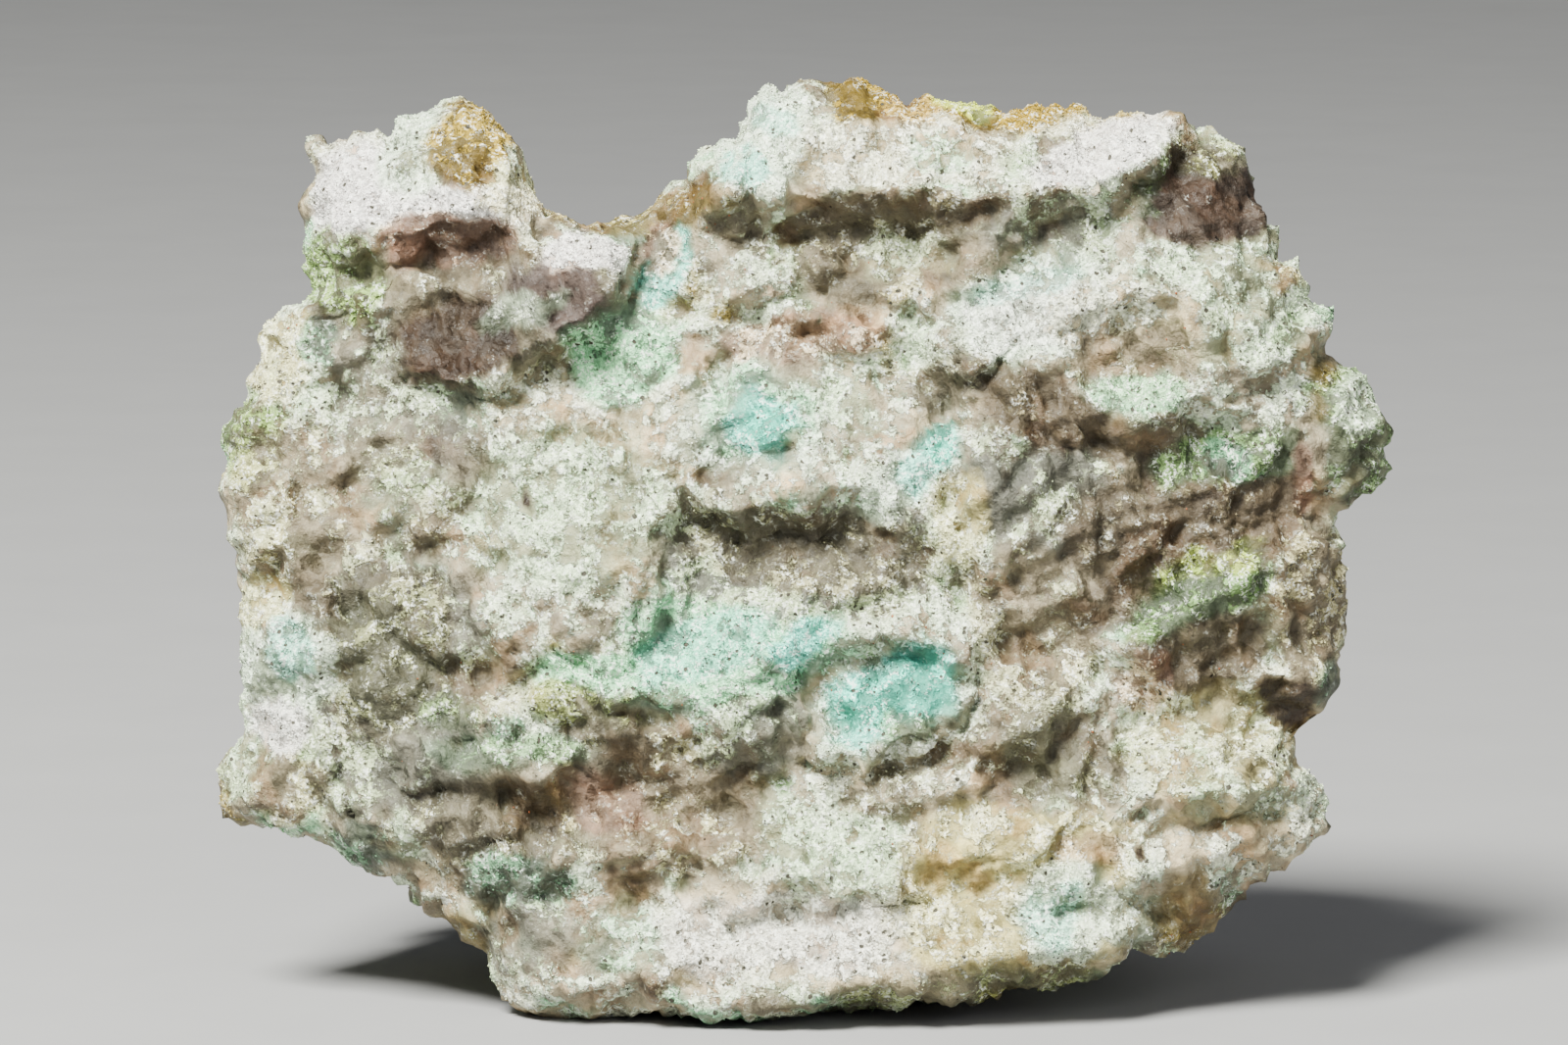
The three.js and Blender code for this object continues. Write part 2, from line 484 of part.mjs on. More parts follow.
// A point of the broken side: the outline evens out, draws in and is bitten on its way to the back.
function sidePoint(front, even, back, share) {
  const evened = THREE.MathUtils.smoothstep(share, 0, 0.4);
  const drawn = share ** 1.6;
  const depth = THREE.MathUtils.lerp(front.depth, back.depth, share);
  const across = (c) => THREE.MathUtils.lerp(THREE.MathUtils.lerp(front[c], even[c], evened), back[c], drawn);
  const x = across("x");
  const v = across("v");
  const bitten = Math.max(1 - chipped(x, depth, v, SIDE_BLOCKS, 401), 0);
  const bite = SIDE_BITE * Math.sin(Math.PI * share) * bitten;
  const inward = new THREE.Vector2(BACK_CENTRE.x - x, FACE_MIDDLE_V - v).normalize();
  return onUnderside(leant(x + bite * inward.x, v + bite * inward.y, depth));
}

// Closed surface of the whole stone: face, sides and a back with half the face's columns and rows.
class Surface {
  constructor() {
    this.points = [];
    this.triangles = [];
  }

  add(point) {
    this.points.push(point);
    return this.points.length - 1;
  }

  // Two triangles of a four-sided facet whose corners go round it.
  facet(a, b, c, d) {
    this.triangles.push([a, b, c], [a, c, d]);
  }

  // Joins a ring to the next deeper one with as many points.
  band(front, back) {
    front.forEach((a, k) => {
      const next = (k + 1) % front.length;
      this.facet(a, front[next], back[next], back[k]);
    });
  }

  // Joins a ring to the next deeper one with half as many points.
  halvingBand(front, back) {
    back.forEach((b, k) => {
      const middle = front[2 * k + 1];
      const last = front[(2 * k + 2) % front.length];
      const next = back[(k + 1) % back.length];
      this.triangles.push([front[2 * k], middle, b], [middle, next, b], [middle, last, next]);
    });
  }

  // Fills a ring with a grid whose inner points come from a function of column and row.
  patch(ring, columns, rows, inner, facesBack) {
    const sides = sidesOf(ring, columns, rows);
    const grid = [];
    for (let j = 0; j <= rows; j++) {
      grid.push([]);
      for (let i = 0; i <= columns; i++) {
        if (j === 0) grid[j].push(sides.top(i));
        else if (j === rows) grid[j].push(sides.bottom(i));
        else if (i === 0) grid[j].push(sides.left(j));
        else if (i === columns) grid[j].push(sides.right(j));
        else grid[j].push(this.add(inner(i, j)));
      }
    }
    for (let j = 0; j < rows; j++) {
      for (let i = 0; i < columns; i++) {
        const corners = [grid[j][i], grid[j + 1][i], grid[j + 1][i + 1], grid[j][i + 1]];
        if (facesBack) corners.reverse();
        this.facet(...corners);
      }
    }
  }

  solid(wasm) {
    const vertProperties = new Float32Array(this.points.flatMap((p) => [p.x, p.y, p.z]));
    const triVerts = new Uint32Array(this.triangles.flat());
    return new wasm.Manifold(new wasm.Mesh({ numProp: 3, vertProperties, triVerts }));
  }
}

// The outline at the grid's own spacing, each point with its depth on the face.
function faceRing() {
  const sides = [
    evenly(OUTLINE.top, COLUMNS, 0),
    evenly(OUTLINE.right, ROWS, 1),
    evenly([...OUTLINE.bottom].reverse(), COLUMNS, 0),
    evenly([...OUTLINE.left].reverse(), ROWS, 1),
  ];
  const ring = sides.flatMap((side) => side.slice(0, -1));
  return ring.map(([x, v]) => ({ x, v, depth: faceDepth(x, v) }));
}

// The outline with each point moved to the mean of its neighbours.
function evenRing(front) {
  return front.map((_, k) => {
    const near = [];
    for (let n = -EVENING; n <= EVENING; n++) {
      near.push(front[(k + n + front.length) % front.length]);
    }
    const mean = (c) => near.reduce((sum, p) => sum + p[c], 0) / near.length;
    return { x: mean("x"), v: mean("v") };
  });
}

// The back's outline: the evened one drawn in, and lifted where the underside is higher.
function backRing(even) {
  return even.map((p) => {
    const x = THREE.MathUtils.lerp(BACK_CENTRE.x, p.x, BACK_SHRINK);
    const v = THREE.MathUtils.lerp(BACK_CENTRE.v, p.v, BACK_SHRINK);
    const depth = backDepth(x, v, 0);
    const place = leant(x, v, depth);
    const lift = Math.max(undersideHeight(place) - place.z, 0) / Math.cos(LEAN);
    return { x, v: v + lift, depth };
  });
}

function everySecond(ring) {
  return ring.filter((_, k) => k % 2 === 0);
}

// Adds the rings from the face to the back, one band after the other, and returns the back's ring.
function addSides(surface, front, even, back, faceIndices) {
  const bands = RIM_BANDS_FULL + 1 + RIM_BANDS_HALF;
  let ring = faceIndices;
  for (let band = 1; band <= bands; band++) {
    const points = front.map((p, k) => sidePoint(p, even[k], back[k], band / bands));
    const kept = band > RIM_BANDS_FULL ? everySecond(points) : points;
    const next = kept.map((point) => surface.add(point));
    if (band === RIM_BANDS_FULL + 1) surface.halvingBand(ring, next);
    else surface.band(ring, next);
    ring = next;
  }
  return ring;
}

function addFace(surface, front) {
  const indices = front.map((p) => surface.add(leant(p.x, p.v, p.depth)));
  const sides = sidesOf(front.map((p) => [p.x, p.v]), COLUMNS, ROWS);
  const inner = (i, j) => {
    const [x, v] = patchPoint(sides, i, j, COLUMNS, ROWS);
    return leant(x, v, faceDepth(x, v));
  };
  surface.patch(indices, COLUMNS, ROWS, inner, false);
  return indices;
}

function addBack(surface, back, indices) {
  const columns = COLUMNS / 2;
  const rows = ROWS / 2;
  const spacing = 3.5; // between the back's facets, in millimetres
  const sides = sidesOf(everySecond(back).map((p) => [p.x, p.v]), columns, rows);
  const inner = (i, j) => {
    const [x, v] = patchPoint(sides, i, j, columns, rows);
    return leant(x, v, backDepth(x, v, spacing * Math.min(i, columns - i, j, rows - j)));
  };
  surface.patch(indices, columns, rows, inner, true);
}

// The stone as one solid, cut level where it rests.
function stoneSolid(wasm) {
  const surface = new Surface();
  const front = faceRing();
  const even = evenRing(front);
  const back = backRing(even);
  const faceIndices = addFace(surface, front);
  const backIndices = addSides(surface, front, even, back, faceIndices);
  addBack(surface, back, backIndices);
  const underFloor = wasm.Manifold.cube([400, 400, 50], true).translate([0, 0, -25]);
  const bodies = surface.solid(wasm).subtract(underFloor).decompose();
  return bodies.reduce((largest, body) => (body.volume() > largest.volume() ? body : largest));
}

function meshOf(solid, name, material) {
  const { vertProperties, triVerts } = solid.getMesh();
  const geometry = new THREE.BufferGeometry();
  geometry.setAttribute("position", new THREE.BufferAttribute(vertProperties, 3));
  geometry.setIndex(new THREE.BufferAttribute(triVerts, 1));
  geometry.computeVertexNormals();
  const mesh = new THREE.Mesh(geometry, material);
  mesh.name = name;
  return mesh;
}

const wasm = await Module();
wasm.setup();

const stoneMaterial = new THREE.MeshStandardMaterial({ color: 0xb4b79c, roughness: 0.7, metalness: 0 });

const part = new THREE.Group();
part.name = "rough_donbassite";
part.add(meshOf(stoneSolid(wasm), "rough_stone", stoneMaterial));

export default part;
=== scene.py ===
"""Rough donbassite: one broken stone of quartz grown through with pale green mica, standing on a flat spot.

The stone is worked out upright in its own face plane, in millimetres: x across, v up the face, and depth from
the face plane towards the back. It is then leant back, put on the floor and written in metres.
"""
import logging
import math
from dataclasses import dataclass
from enum import Enum

import bpy
import numpy as np
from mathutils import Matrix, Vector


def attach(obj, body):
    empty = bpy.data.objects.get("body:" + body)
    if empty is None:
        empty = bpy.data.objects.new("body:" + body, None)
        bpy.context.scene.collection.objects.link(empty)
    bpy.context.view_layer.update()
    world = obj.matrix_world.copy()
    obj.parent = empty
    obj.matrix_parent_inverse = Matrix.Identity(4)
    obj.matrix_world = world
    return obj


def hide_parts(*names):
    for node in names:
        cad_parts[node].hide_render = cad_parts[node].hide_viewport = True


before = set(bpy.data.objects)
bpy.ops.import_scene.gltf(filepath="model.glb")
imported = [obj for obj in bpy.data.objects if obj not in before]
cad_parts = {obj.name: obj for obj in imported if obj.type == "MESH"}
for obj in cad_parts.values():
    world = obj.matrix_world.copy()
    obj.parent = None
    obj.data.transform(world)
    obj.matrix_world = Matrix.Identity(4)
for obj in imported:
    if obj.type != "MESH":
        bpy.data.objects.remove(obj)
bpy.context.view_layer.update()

LOG = logging.getLogger("rough_donbassite")
Array = np.ndarray
Run = list[tuple[float, float]]
Place = tuple[float, float, float]

MM = 0.001
LEAN = math.radians(8.0)
HASH_ALONG = (374761393, 668265263, 2246822519)
HASH_SEED = 3266489917
HASH_RANGE = 2**32
NODE = "rough_stone"
BODY = "root"


# Noise and broken rock


def hashed(ix: Array, iy: Array, iz: Array, seed: int) -> Array:
    """Give each lattice point a number from 0 to 1 by mixing the bits of its whole-number place.

    Args:
        ix, iy, iz: whole-number places.
        seed: picks one of many such patterns.

    Returns:
        One number per place.
    """
    with np.errstate(over="ignore"):
        h = np.uint32(seed * HASH_SEED % HASH_RANGE)
        for place, factor in zip((ix, iy, iz), HASH_ALONG):
            h = h ^ (place.astype(np.uint32) * np.uint32(factor))
        h = (h ^ (h >> np.uint32(15))) * np.uint32(HASH_ALONG[2])
        h = (h ^ (h >> np.uint32(13))) * np.uint32(HASH_SEED)
        h ^= h >> np.uint32(16)
    return h / float(HASH_RANGE)


def smoothstep(value: Array, low: float, high: float) -> Array:
    """Ease from 0 at low to 1 at high, as 3t squared less 2t cubed."""
    t = np.clip((value - low) / (high - low), 0.0, 1.0)
    return t * t * (3.0 - 2.0 * t)


def mixed(a: Array, b: Array, share: Array) -> Array:
    """Go in a straight line from a to b by the given share."""
    return a + (b - a) * share


def smooth_noise(p: Array, size: float, seed: int) -> Array:
    """Blend the lattice numbers of the eight corners round each point, eased along each axis.

    Args:
        p: points, one per row.
        size: spacing of the lattice, in the points' unit.
        seed: picks the pattern.

    Returns:
        Noise from -1 to 1.
    """
    cell = np.floor(p / size).astype(np.int64)
    ease = smoothstep(p / size - cell, 0.0, 1.0)
    total = np.zeros(len(p))
    for corner in range(8):
        step = np.array([corner & 1, (corner >> 1) & 1, (corner >> 2) & 1])
        weight = np.prod(np.where(step, ease, 1.0 - ease), axis=1)
        total += weight * hashed(*(cell + step).T, seed)
    return 2.0 * total - 1.0


def fractal_noise(p: Array, size: float, seed: int, octaves: int, gain: float = 0.6) -> Array:
    """Add smooth noise at halving sizes, each weighted by the gain of the one before.

    Args:
        p: points, one per row.
        size: size of the coarsest noise.
        seed: picks the pattern.
        octaves: how many sizes are added.
        gain: weight of each size against the coarser one.

    Returns:
        Noise from about -1 to 1.
    """
    weights = gain ** np.arange(octaves)
    layers = [w * smooth_noise(p, size / 2**k, seed + k) for k, w in enumerate(weights)]
    return sum(layers) / weights.sum()


@dataclass(frozen=True)
class Chips:
    """Broken blocks, or scoops where the lift is negative.

    Each cell of a jittered lattice has one tilted, bowed plane, and the greatest near a point counts.
    """

    size: float
    lift: float
    seed: int
    tilt: float = 0.9
    bow: float = 1.0
    uneven: float = 0.4

    def at(self, p: Array) -> Array:
        """Work out the chipped relief.

        Args:
            p: points, one per row.

        Returns:
            Lift times the greatest plane, for each point.
        """
        q = p / self.size
        cell = np.floor(q).astype(np.int64)
        best = np.full(len(p), -np.inf)
        for n in range(27):
            near = cell + np.array([n % 3 - 1, n // 3 % 3 - 1, n // 9 - 1])
            random = [hashed(*near.T, self.seed + m) for m in range(7)]
            offset = [q[:, c] - near[:, c] - random[c] for c in range(3)]
            slant = sum(o * (2.0 * r - 1.0) for o, r in zip(offset, random[3:6]))
            plane = self.tilt * slant - self.bow * sum(o * o for o in offset) + self.uneven * random[6]
            best = np.maximum(best, plane)
        return self.lift * best


@dataclass(frozen=True)
class Folds:
    """Flat facets that meet in crests and creases: strayed triangle waves in a few directions."""

    size: float
    slope: float
    seed: int
    stray: float = 0.2
    directions: int = 4
    sizes: tuple[float, float] = (0.7, 1.4)
    noise_size: float = 1.4
    strength_size: float = 1.6
    strength: tuple[float, float] = (0.5, 1.3)

    def at(self, p: Array) -> Array:
        """Work out the folded relief.

        Args:
            p: points, one per row.

        Returns:
            Relief about zero, for each point.
        """
        total = np.zeros(len(p))
        for n in range(self.directions):
            rng = np.random.default_rng(self.seed + n)
            along = rng.normal(size=3) * np.array([1.0, 0.5, 1.0])
            along /= np.linalg.norm(along)
            size = self.size * rng.uniform(*self.sizes)
            seed = self.seed + 7 * n
            phase = p @ along / size + self.stray * fractal_noise(p, self.noise_size * size, seed, 2)
            middle, most = self.strength
            strength = middle + most * fractal_noise(p, self.strength_size * size, seed + 3, 1)
            wave = np.abs(phase - np.floor(phase) - 0.5) - 0.25
            total += np.clip(strength, 0.0, most) * wave
        return self.slope * self.size * total


# Outline and ridges of the face, in millimetres

OUTLINE: dict[str, Run] = {
    "top": [
        (-48.1, 89.9), (-46.5, 88.9), (-43, 90.1), (-39.8, 90.4), (-39.2, 92.2), (-37.2, 92.4),
        (-34.6, 93.6), (-32.5, 94.3), (-31.6, 93.4), (-29.6, 92.2), (-28.4, 90.8), (-27.5, 88.2),
        (-26.5, 84.8), (-25.6, 82.6), (-23.8, 81.6), (-21.9, 82.1), (-19.8, 81.2), (-18.5, 80.8),
        (-17, 81.8), (-15, 82.5), (-12.8, 83.3), (-11.5, 84.6), (-9.8, 85.2), (-8.8, 87), (-7.6, 88.7),
        (-6, 89.8), (-4.8, 89.8), (-4.6, 91.2), (-3.6, 92.2), (-3.2, 94.2), (-2, 94.9), (0, 94.6),
        (1.6, 95.6), (4, 95.5), (5.3, 95.2), (6.5, 95.8), (8.5, 95.7), (10.2, 95), (12, 93.9),
        (15, 94.1), (18, 93.6), (21.3, 93.1), (22.6, 92.4), (24.8, 92.9), (26.5, 93.3), (30.1, 93.1),
        (31.3, 92.1), (34, 92), (37.8, 92.5), (40.2, 92.5), (41.3, 91), (43.4, 90.5), (45.4, 89.9),
        (47, 88.9),
    ],
    "right": [
        (47, 88.9), (47.3, 86.8), (48.6, 83.8), (48.9, 81.6), (50.1, 80.4), (50.9, 79.2), (50.6, 77.4),
        (52, 77), (53.1, 75.4), (53.8, 73.6), (55.8, 72.4), (55.8, 70.2), (55.2, 68), (57, 67.2),
        (59, 65.4), (60.1, 63.8), (61.8, 61.4), (62.1, 59.8), (61.4, 58.4), (61.8, 56.2), (61.2, 55),
        (59.6, 54.1), (57.6, 52.8), (56.3, 51.6), (56.8, 49.4), (57.6, 46), (57.8, 43.2), (57, 40.4),
        (56.6, 36.8), (56.8, 34.8), (56.2, 32.6), (54.6, 31.4), (53.5, 30.5), (51.8, 29.2), (52, 27.6),
        (52.8, 26), (54.3, 23.9), (55.5, 22), (55.3, 20.6), (55.7, 19.8),
    ],
    "bottom": [
        (-57.5, 20.5), (-56, 19.9), (-53, 19.6), (-51.4, 18.7), (-48.7, 18.6), (-46.6, 18), (-45.4, 17),
        (-44.2, 15.3), (-42.2, 14.9), (-40, 14.7), (-39, 13.4), (-38, 11.9), (-35.6, 10.8), (-34.2, 9.8),
        (-32.4, 7.8), (-30.6, 6.4), (-29.6, 4), (-28.2, 2.2), (-26.6, 0.8), (-24.4, -0.2), (-22.4, -0.4),
        (-20, 0.2), (-17, 0.4), (-14, 0.8), (-10, 0.7), (-6, 0.4), (-2.8, 0), (0, 0.4), (2.2, 0.6),
        (3.4, 1.3), (6, 1.4), (10, 1.7), (15, 1.9), (19, 1.9), (23, 3), (29, 3.4), (32, 4.4), (34.2, 6),
        (34.8, 7), (37, 6.8), (39.4, 6.4), (41.4, 7.2), (42.8, 8.8), (44.9, 10.8), (46.6, 12.4),
        (49.2, 14.2), (52.2, 16.4), (54.2, 18), (55.7, 19.8),
    ],
    "left": [
        (-48.1, 89.9), (-48.4, 87), (-49, 84), (-49, 80.8), (-48.7, 78), (-49, 76.4), (-48.7, 74.4),
        (-51, 72.2), (-53, 71.4), (-53.9, 70.3), (-53.6, 67.4), (-54.6, 65.4), (-54.8, 63.6),
        (-56.4, 62.6), (-57.2, 60), (-57.4, 57), (-57.8, 54), (-56.8, 52), (-56.8, 49.4), (-55.8, 46.4),
        (-55.6, 42), (-55.6, 38), (-55.2, 34), (-55.4, 31.4), (-55.2, 28.6), (-56.8, 27), (-58.5, 25.6),
        (-58, 23.2), (-57.5, 20.5),
    ],
}


@dataclass(frozen=True)
class Ridge:
    """A crest of the face, as (x, v, height) points, and how steeply the rock falls to its left and right."""

    name: str
    left: float
    right: float
    crest: tuple[tuple[float, float, float], ...]


RIDGES = [
    Ridge("knob top", 0.5, 0.25, ((-47, 88, -3), (-40, 88.5, -2.5), (-36, 91, -2.5), (-33, 93, -3))),
    Ridge("knob brow", 0.36, 0.75, (
        (-47, 79.5, -1.5), (-42, 80.5, 0.5), (-38, 80.5, 1.5), (-30, 81.5, 2.2), (-24, 81, 1.6),
        (-18, 77.5, 1.2),
    )),
    Ridge("knob peak", 0.87, 0.4, (
        (-34, 93.7, -3), (-33.6, 89.7, -0.8), (-31.3, 87.3, 0.8), (-27.5, 84.5, 1.2),
    )),
    Ridge("knob left edge", 0.12, 1.04, (
        (-46.5, 89, -3.5), (-45.5, 85, -2), (-47.5, 80.5, -2), (-48.5, 75, -2.5),
    )),
    Ridge("knob middle", 0.43, 0.5, (
        (-44, 73, -1), (-38, 72.5, 0.5), (-33, 74.5, 1.5), (-26, 73, 2.5), (-21, 74, 3),
    )),
    Ridge("knob lower edge", 0.25, 1.41, (
        (-37, 66.5, 0.8), (-32, 66, 2), (-28, 66.5, 2.8), (-24, 68.5, 3.4), (-20, 71, 3.6),
        (-18, 73, 3.6), (-16.8, 78, 2.6),
    )),
    Ridge("left shoulder", 0.5, 0.43, ((-53, 67.5, -6.5), (-49, 66.5, -4), (-44, 66, -2), (-39, 64, -0.5))),
    Ridge("left slab", 1.04, 0.32, (
        (-55, 61.8, -5.5), (-50, 61, -3), (-46, 60, -1.2), (-44, 57, -0.6), (-44.5, 53.5, -0.8),
    )),
    Ridge("left cobble", 0.43, 0.5, (
        (-56, 51.5, -5.5), (-53, 53.5, -3), (-50, 54.5, -1.6), (-45.5, 53.5, -0.9),
    )),
    Ridge("main left edge", 0.29, 1.41, (
        (-45.5, 47, -0.3), (-45.8, 43.5, 0), (-46, 40, -0.3), (-49, 34, -1), (-46, 29, 0),
        (-47, 25, -0.5), (-44.5, 18, -0.5), (-40, 15, -0.8),
    )),
    Ridge("left mint field", 0.43, 0.43, ((-54, 45, -6), (-51, 40, -4.5), (-52, 35, -5), (-51, 31, -5))),
    Ridge("small cuboid lip", 0.32, 1.81, ((-54.2, 27.6, -5.5), (-48.2, 27.2, -4.2))),
    Ridge("rear block", 0.75, 0.16, ((-58, 24.6, -9.5), (-52, 24, -9), (-46, 23, -8))),
    Ridge("centre left edge", 1.15, 0.16, (
        (-9.6, 55.4, 3), (-12.2, 50, 3.8), (-13.2, 44.5, 4), (-15.2, 37.5, 3.4),
    )),
    Ridge("left crest", 0.36, 0.29, ((-44, 52, -0.5), (-39, 50.5, 1), (-33, 49, 1.8), (-26, 47.5, 2.4))),
    Ridge("left mid crest", 0.36, 0.4, ((-40, 60, 0), (-33, 58, 1.2), (-27, 57.5, 1.8), (-24, 60.5, 1.5))),
    Ridge("centre left brow", 0.32, 0.5, ((-26, 47, 2.6), (-20, 46, 3.2), (-15, 46.5, 3.8))),
    Ridge("lump lower", 0.14, 0.69, ((-34, 38, 1.8), (-30, 40, 2.6), (-25, 37.5, 3.2), (-17, 37, 3.4))),
    Ridge("left belly", 0.29, 0.32, ((-42, 38, 1), (-38, 34, 1.8), (-33, 31, 2.2), (-28, 30, 2.6))),
    Ridge("top ledge", 0.4, 0.93, (
        (1.5, 84, 3.2), (6, 84.4, 3.8), (12, 83.8, 4.2), (20, 83, 4.2), (24.5, 83.5, 3.8),
    )),
    Ridge("diagonal ridge", 0.4, 1.04, ((26, 83.5, 3.6), (31, 84, 3.6), (36, 86.2, 3), (40.5, 90.3, 1))),
    Ridge("lump right edge", 0.87, 0.29, (
        (23.5, 82.8, 3.8), (20.5, 80, 3.4), (18.5, 76, 3), (17.8, 71.5, 2),
    )),
    Ridge("lump lower lip", 0.32, 0.69, ((4, 76, 2), (9, 73.5, 2.6), (14, 72.5, 2.8), (17.5, 71.8, 2))),
    Ridge("shelf edge", 0.46, 0.69, ((-1, 72, 1.8), (3, 71.2, 2.2), (7, 69.5, 2.6), (11, 70.5, 2))),
    Ridge("round facet", 0.36, 0.5, ((-5, 73, 1.6), (-3, 75, 1.8), (1, 75.5, 1.6))),
    Ridge("right recess sill", 0.32, 0.63, ((20, 77, 0.6), (26, 77.5, 1), (32, 75.5, 1.6), (36, 76, 2))),
    Ridge("right vein rib", 0.43, 0.43, ((36.2, 83, 1), (35.8, 79, 1.8), (37.5, 75.5, 2.4), (40.5, 71, 3))),
    Ridge("block crest", 0.36, 0.43, (
        (26, 69.5, 3.2), (28, 71.5, 4), (31, 73, 4.4), (36.5, 75, 4.2), (40.5, 71, 3.8), (42.5, 66, 3),
    )),
    Ridge("block left rib", 0.25, 0.43, ((28.5, 71.8, 4.2), (26, 67, 4.4), (24, 63, 4))),
    Ridge("block foot", 0.32, 0.69, ((26, 62, 4), (32, 60.5, 4), (38, 61.5, 3.6), (42, 64, 3))),
    Ridge("pale facet top", 1.04, 0.16, ((20, 61, 3.6), (24, 60.4, 4.2), (30, 58.2, 3.8), (32, 57.8, 3.2))),
    Ridge("pale facet left", 0.14, 0.5, ((20, 60.8, 3.6), (20.3, 55, 4.2), (20, 48, 3.6), (20.5, 42, 2.6))),
    Ridge("mint overhang", 0.29, 1.41, ((16, 66, 3), (17.5, 65.5, 3.6), (21, 67, 3.8), (25, 69.5, 3.4))),
    Ridge("centre ridge", 0.32, 0.81, (
        (-9.5, 54.5, 2.6), (-4, 52.6, 3.4), (2, 53.5, 4.2), (5, 54.3, 4.4), (9, 54.2, 4.4),
        (12, 52.5, 4.2), (16.5, 48, 3.2),
    )),
    Ridge("centre knoll", 0.29, 0.32, ((-2, 60, 2.6), (3, 59, 3.2), (8, 58, 3.6), (12, 60, 3))),
    Ridge("turquoise pocket rim", 0.29, 0.29, ((-8, 63, 1.8), (-3, 62, 2), (1, 60.5, 2.6))),
    Ridge("mint field lip", 0.43, 0.81, (
        (-24, 35.5, 3.2), (-19, 34, 3.8), (-15, 33.5, 4.2), (-8, 32.5, 4.6), (-4, 33.5, 4.6),
        (0, 34, 4.2), (3, 38, 3.2),
    )),
    Ridge("mint field rib", 0.32, 0.36, ((-6, 33.5, 4.8), (0, 38, 4), (4, 41, 3.4), (10, 43.5, 3))),
    Ridge("pod lip", 0.36, 1.31, (
        (4, 27.5, 4), (7, 26.8, 4.4), (10, 27, 4.6), (13, 28, 4.6), (16, 29.5, 4.2), (18, 32, 3.6),
    )),
    Ridge("pod roof", 0.32, 1.2, (
        (4, 38.5, 3.2), (8, 39, 3.8), (13, 38.5, 3.8), (18.5, 37.5, 3.6), (21, 39, 3.4),
    )),
    Ridge("lower lumps", 0.36, 0.63, (
        (-24, 32.5, 3.2), (-20, 30.5, 3.8), (-15, 29.5, 3.8), (-11, 30, 3.2),
    )),
    Ridge("grey lens", 0.36, 0.56, ((-10, 29.5, 3.4), (-5, 29.5, 3.6), (-1, 31, 3.6))),
    Ridge("wedge lip", 0.4, 0.63, ((-36, 25.5, 2.4), (-30, 24.5, 3.2), (-24, 25, 3.4), (-21, 27.5, 3))),
    Ridge("round cobble", 0.29, 0.5, ((-36, 20, 2), (-32, 21.5, 2.8), (-28, 20, 2.6))),
    Ridge("low brown lip", 0.36, 0.43, ((-28, 17, 2.6), (-20, 16.5, 2.8), (-12, 17, 2.6), (-5, 18, 2.8))),
    Ridge("white slope top", 0.56, 0.36, (
        (-26, 14, 1.6), (-20, 15, 2.2), (-12, 15.5, 2.4), (-6, 14.5, 2.6),
    )),
    Ridge("low ledge", 0.32, 1.15, ((-4, 12.5, 3.2), (0, 14.7, 4), (5, 13.5, 4.2), (12.5, 13.7, 4.2))),
    Ridge("sand bulge", 0.32, 0.32, ((10, 18, 3.6), (18, 17, 4), (26, 17.5, 3.8), (30, 21, 3))),
    Ridge("foot front", 0.37, 1.31, (
        (-14, 3.5, 4.4), (-10, 1.5, 4.8), (-4, 1, 5.4), (1, 2, 5.4), (5, 3, 5.4), (14, 4, 5.8),
        (20, 5.5, 5.8), (26, 6.5, 5.2), (34, 7, 4),
    )),
    Ridge("foot left", 0.32, 1.04, (
        (-33, 11.5, -0.5), (-28.5, 5.5, 1.2), (-24, 3.5, 2.6), (-18, 4, 3.2), (-14, 5, 3.4),
    )),
    Ridge("foot left rib", 0.36, 0.36, ((-28, 14, 1), (-22, 9, 2.6), (-16, 6, 3.6))),
    Ridge("spur ledge", 0.43, 0.93, (
        (36, 22, 3), (38.5, 22.8, 3.2), (43, 24, 3.2), (49, 23.2, 1.8), (53.5, 24, 0),
    )),
    Ridge("spur low", 0.43, 0.43, ((32, 13.5, 3.2), (38, 16, 2.8), (47, 19, 1.2), (55, 20.5, -1))),
    Ridge("lower right rib", 0.36, 0.36, ((24, 12, 4), (30, 14, 3.6), (34, 19, 3), (30, 24, 3))),
    Ridge("right band", 0.43, 0.56, ((35, 52.5, 2.4), (41, 54, 2.4), (50, 57, 1.2), (54.5, 59, -0.5))),
    Ridge("right mid rib", 0.36, 0.43, ((22, 44, 2.8), (28, 46, 2.8), (34, 47, 2.6), (40, 47.5, 2))),
    Ridge("green strip lip", 0.63, 0.36, ((35, 38.5, 3.2), (43, 42, 2.8), (49, 47.5, 1.6), (51, 48.5, 1))),
    Ridge("right white edge", 0.69, 0.29, ((50.5, 48.5, 1), (51.5, 42, 0.6), (52, 36, 0))),
    Ridge("cave brow", 0.29, 1.09, ((42, 35, 1.4), (47.5, 34.5, 0.8), (51, 34.8, 0))),
    Ridge("right quartz lobe", 0.63, 0.29, ((55, 50, -3.5), (56, 42, -4), (55.5, 33, -5))),
    Ridge("right lobe", 0.5, 0.29, ((56, 66, -10), (59.5, 62, -9.5), (60, 57, -9.5), (58, 53, -10))),
    Ridge("right field lip", 0.4, 0.63, (
        (41.5, 67.5, 2.8), (45, 66.8, 2.6), (49, 66.8, 2), (55.3, 70.5, -0.5),
    )),
    Ridge("right field lumps", 0.36, 0.63, ((43, 63, 2.2), (48, 61.5, 1.6), (53.5, 62.5, 0))),
    Ridge("right field top", 0.5, 0.25, ((37, 77.5, 1), (43, 79, 0.5), (49, 79, -1))),
    Ridge("top chunk", 0.29, 0.93, ((-3, 92.5, -1), (-4.3, 89, 1.6), (-4.5, 85, 3.2), (0, 83.8, 3.6))),
    Ridge("top chunk groove", 0.29, 0.29, ((0.5, 93, 0), (1.5, 88, 2.6))),
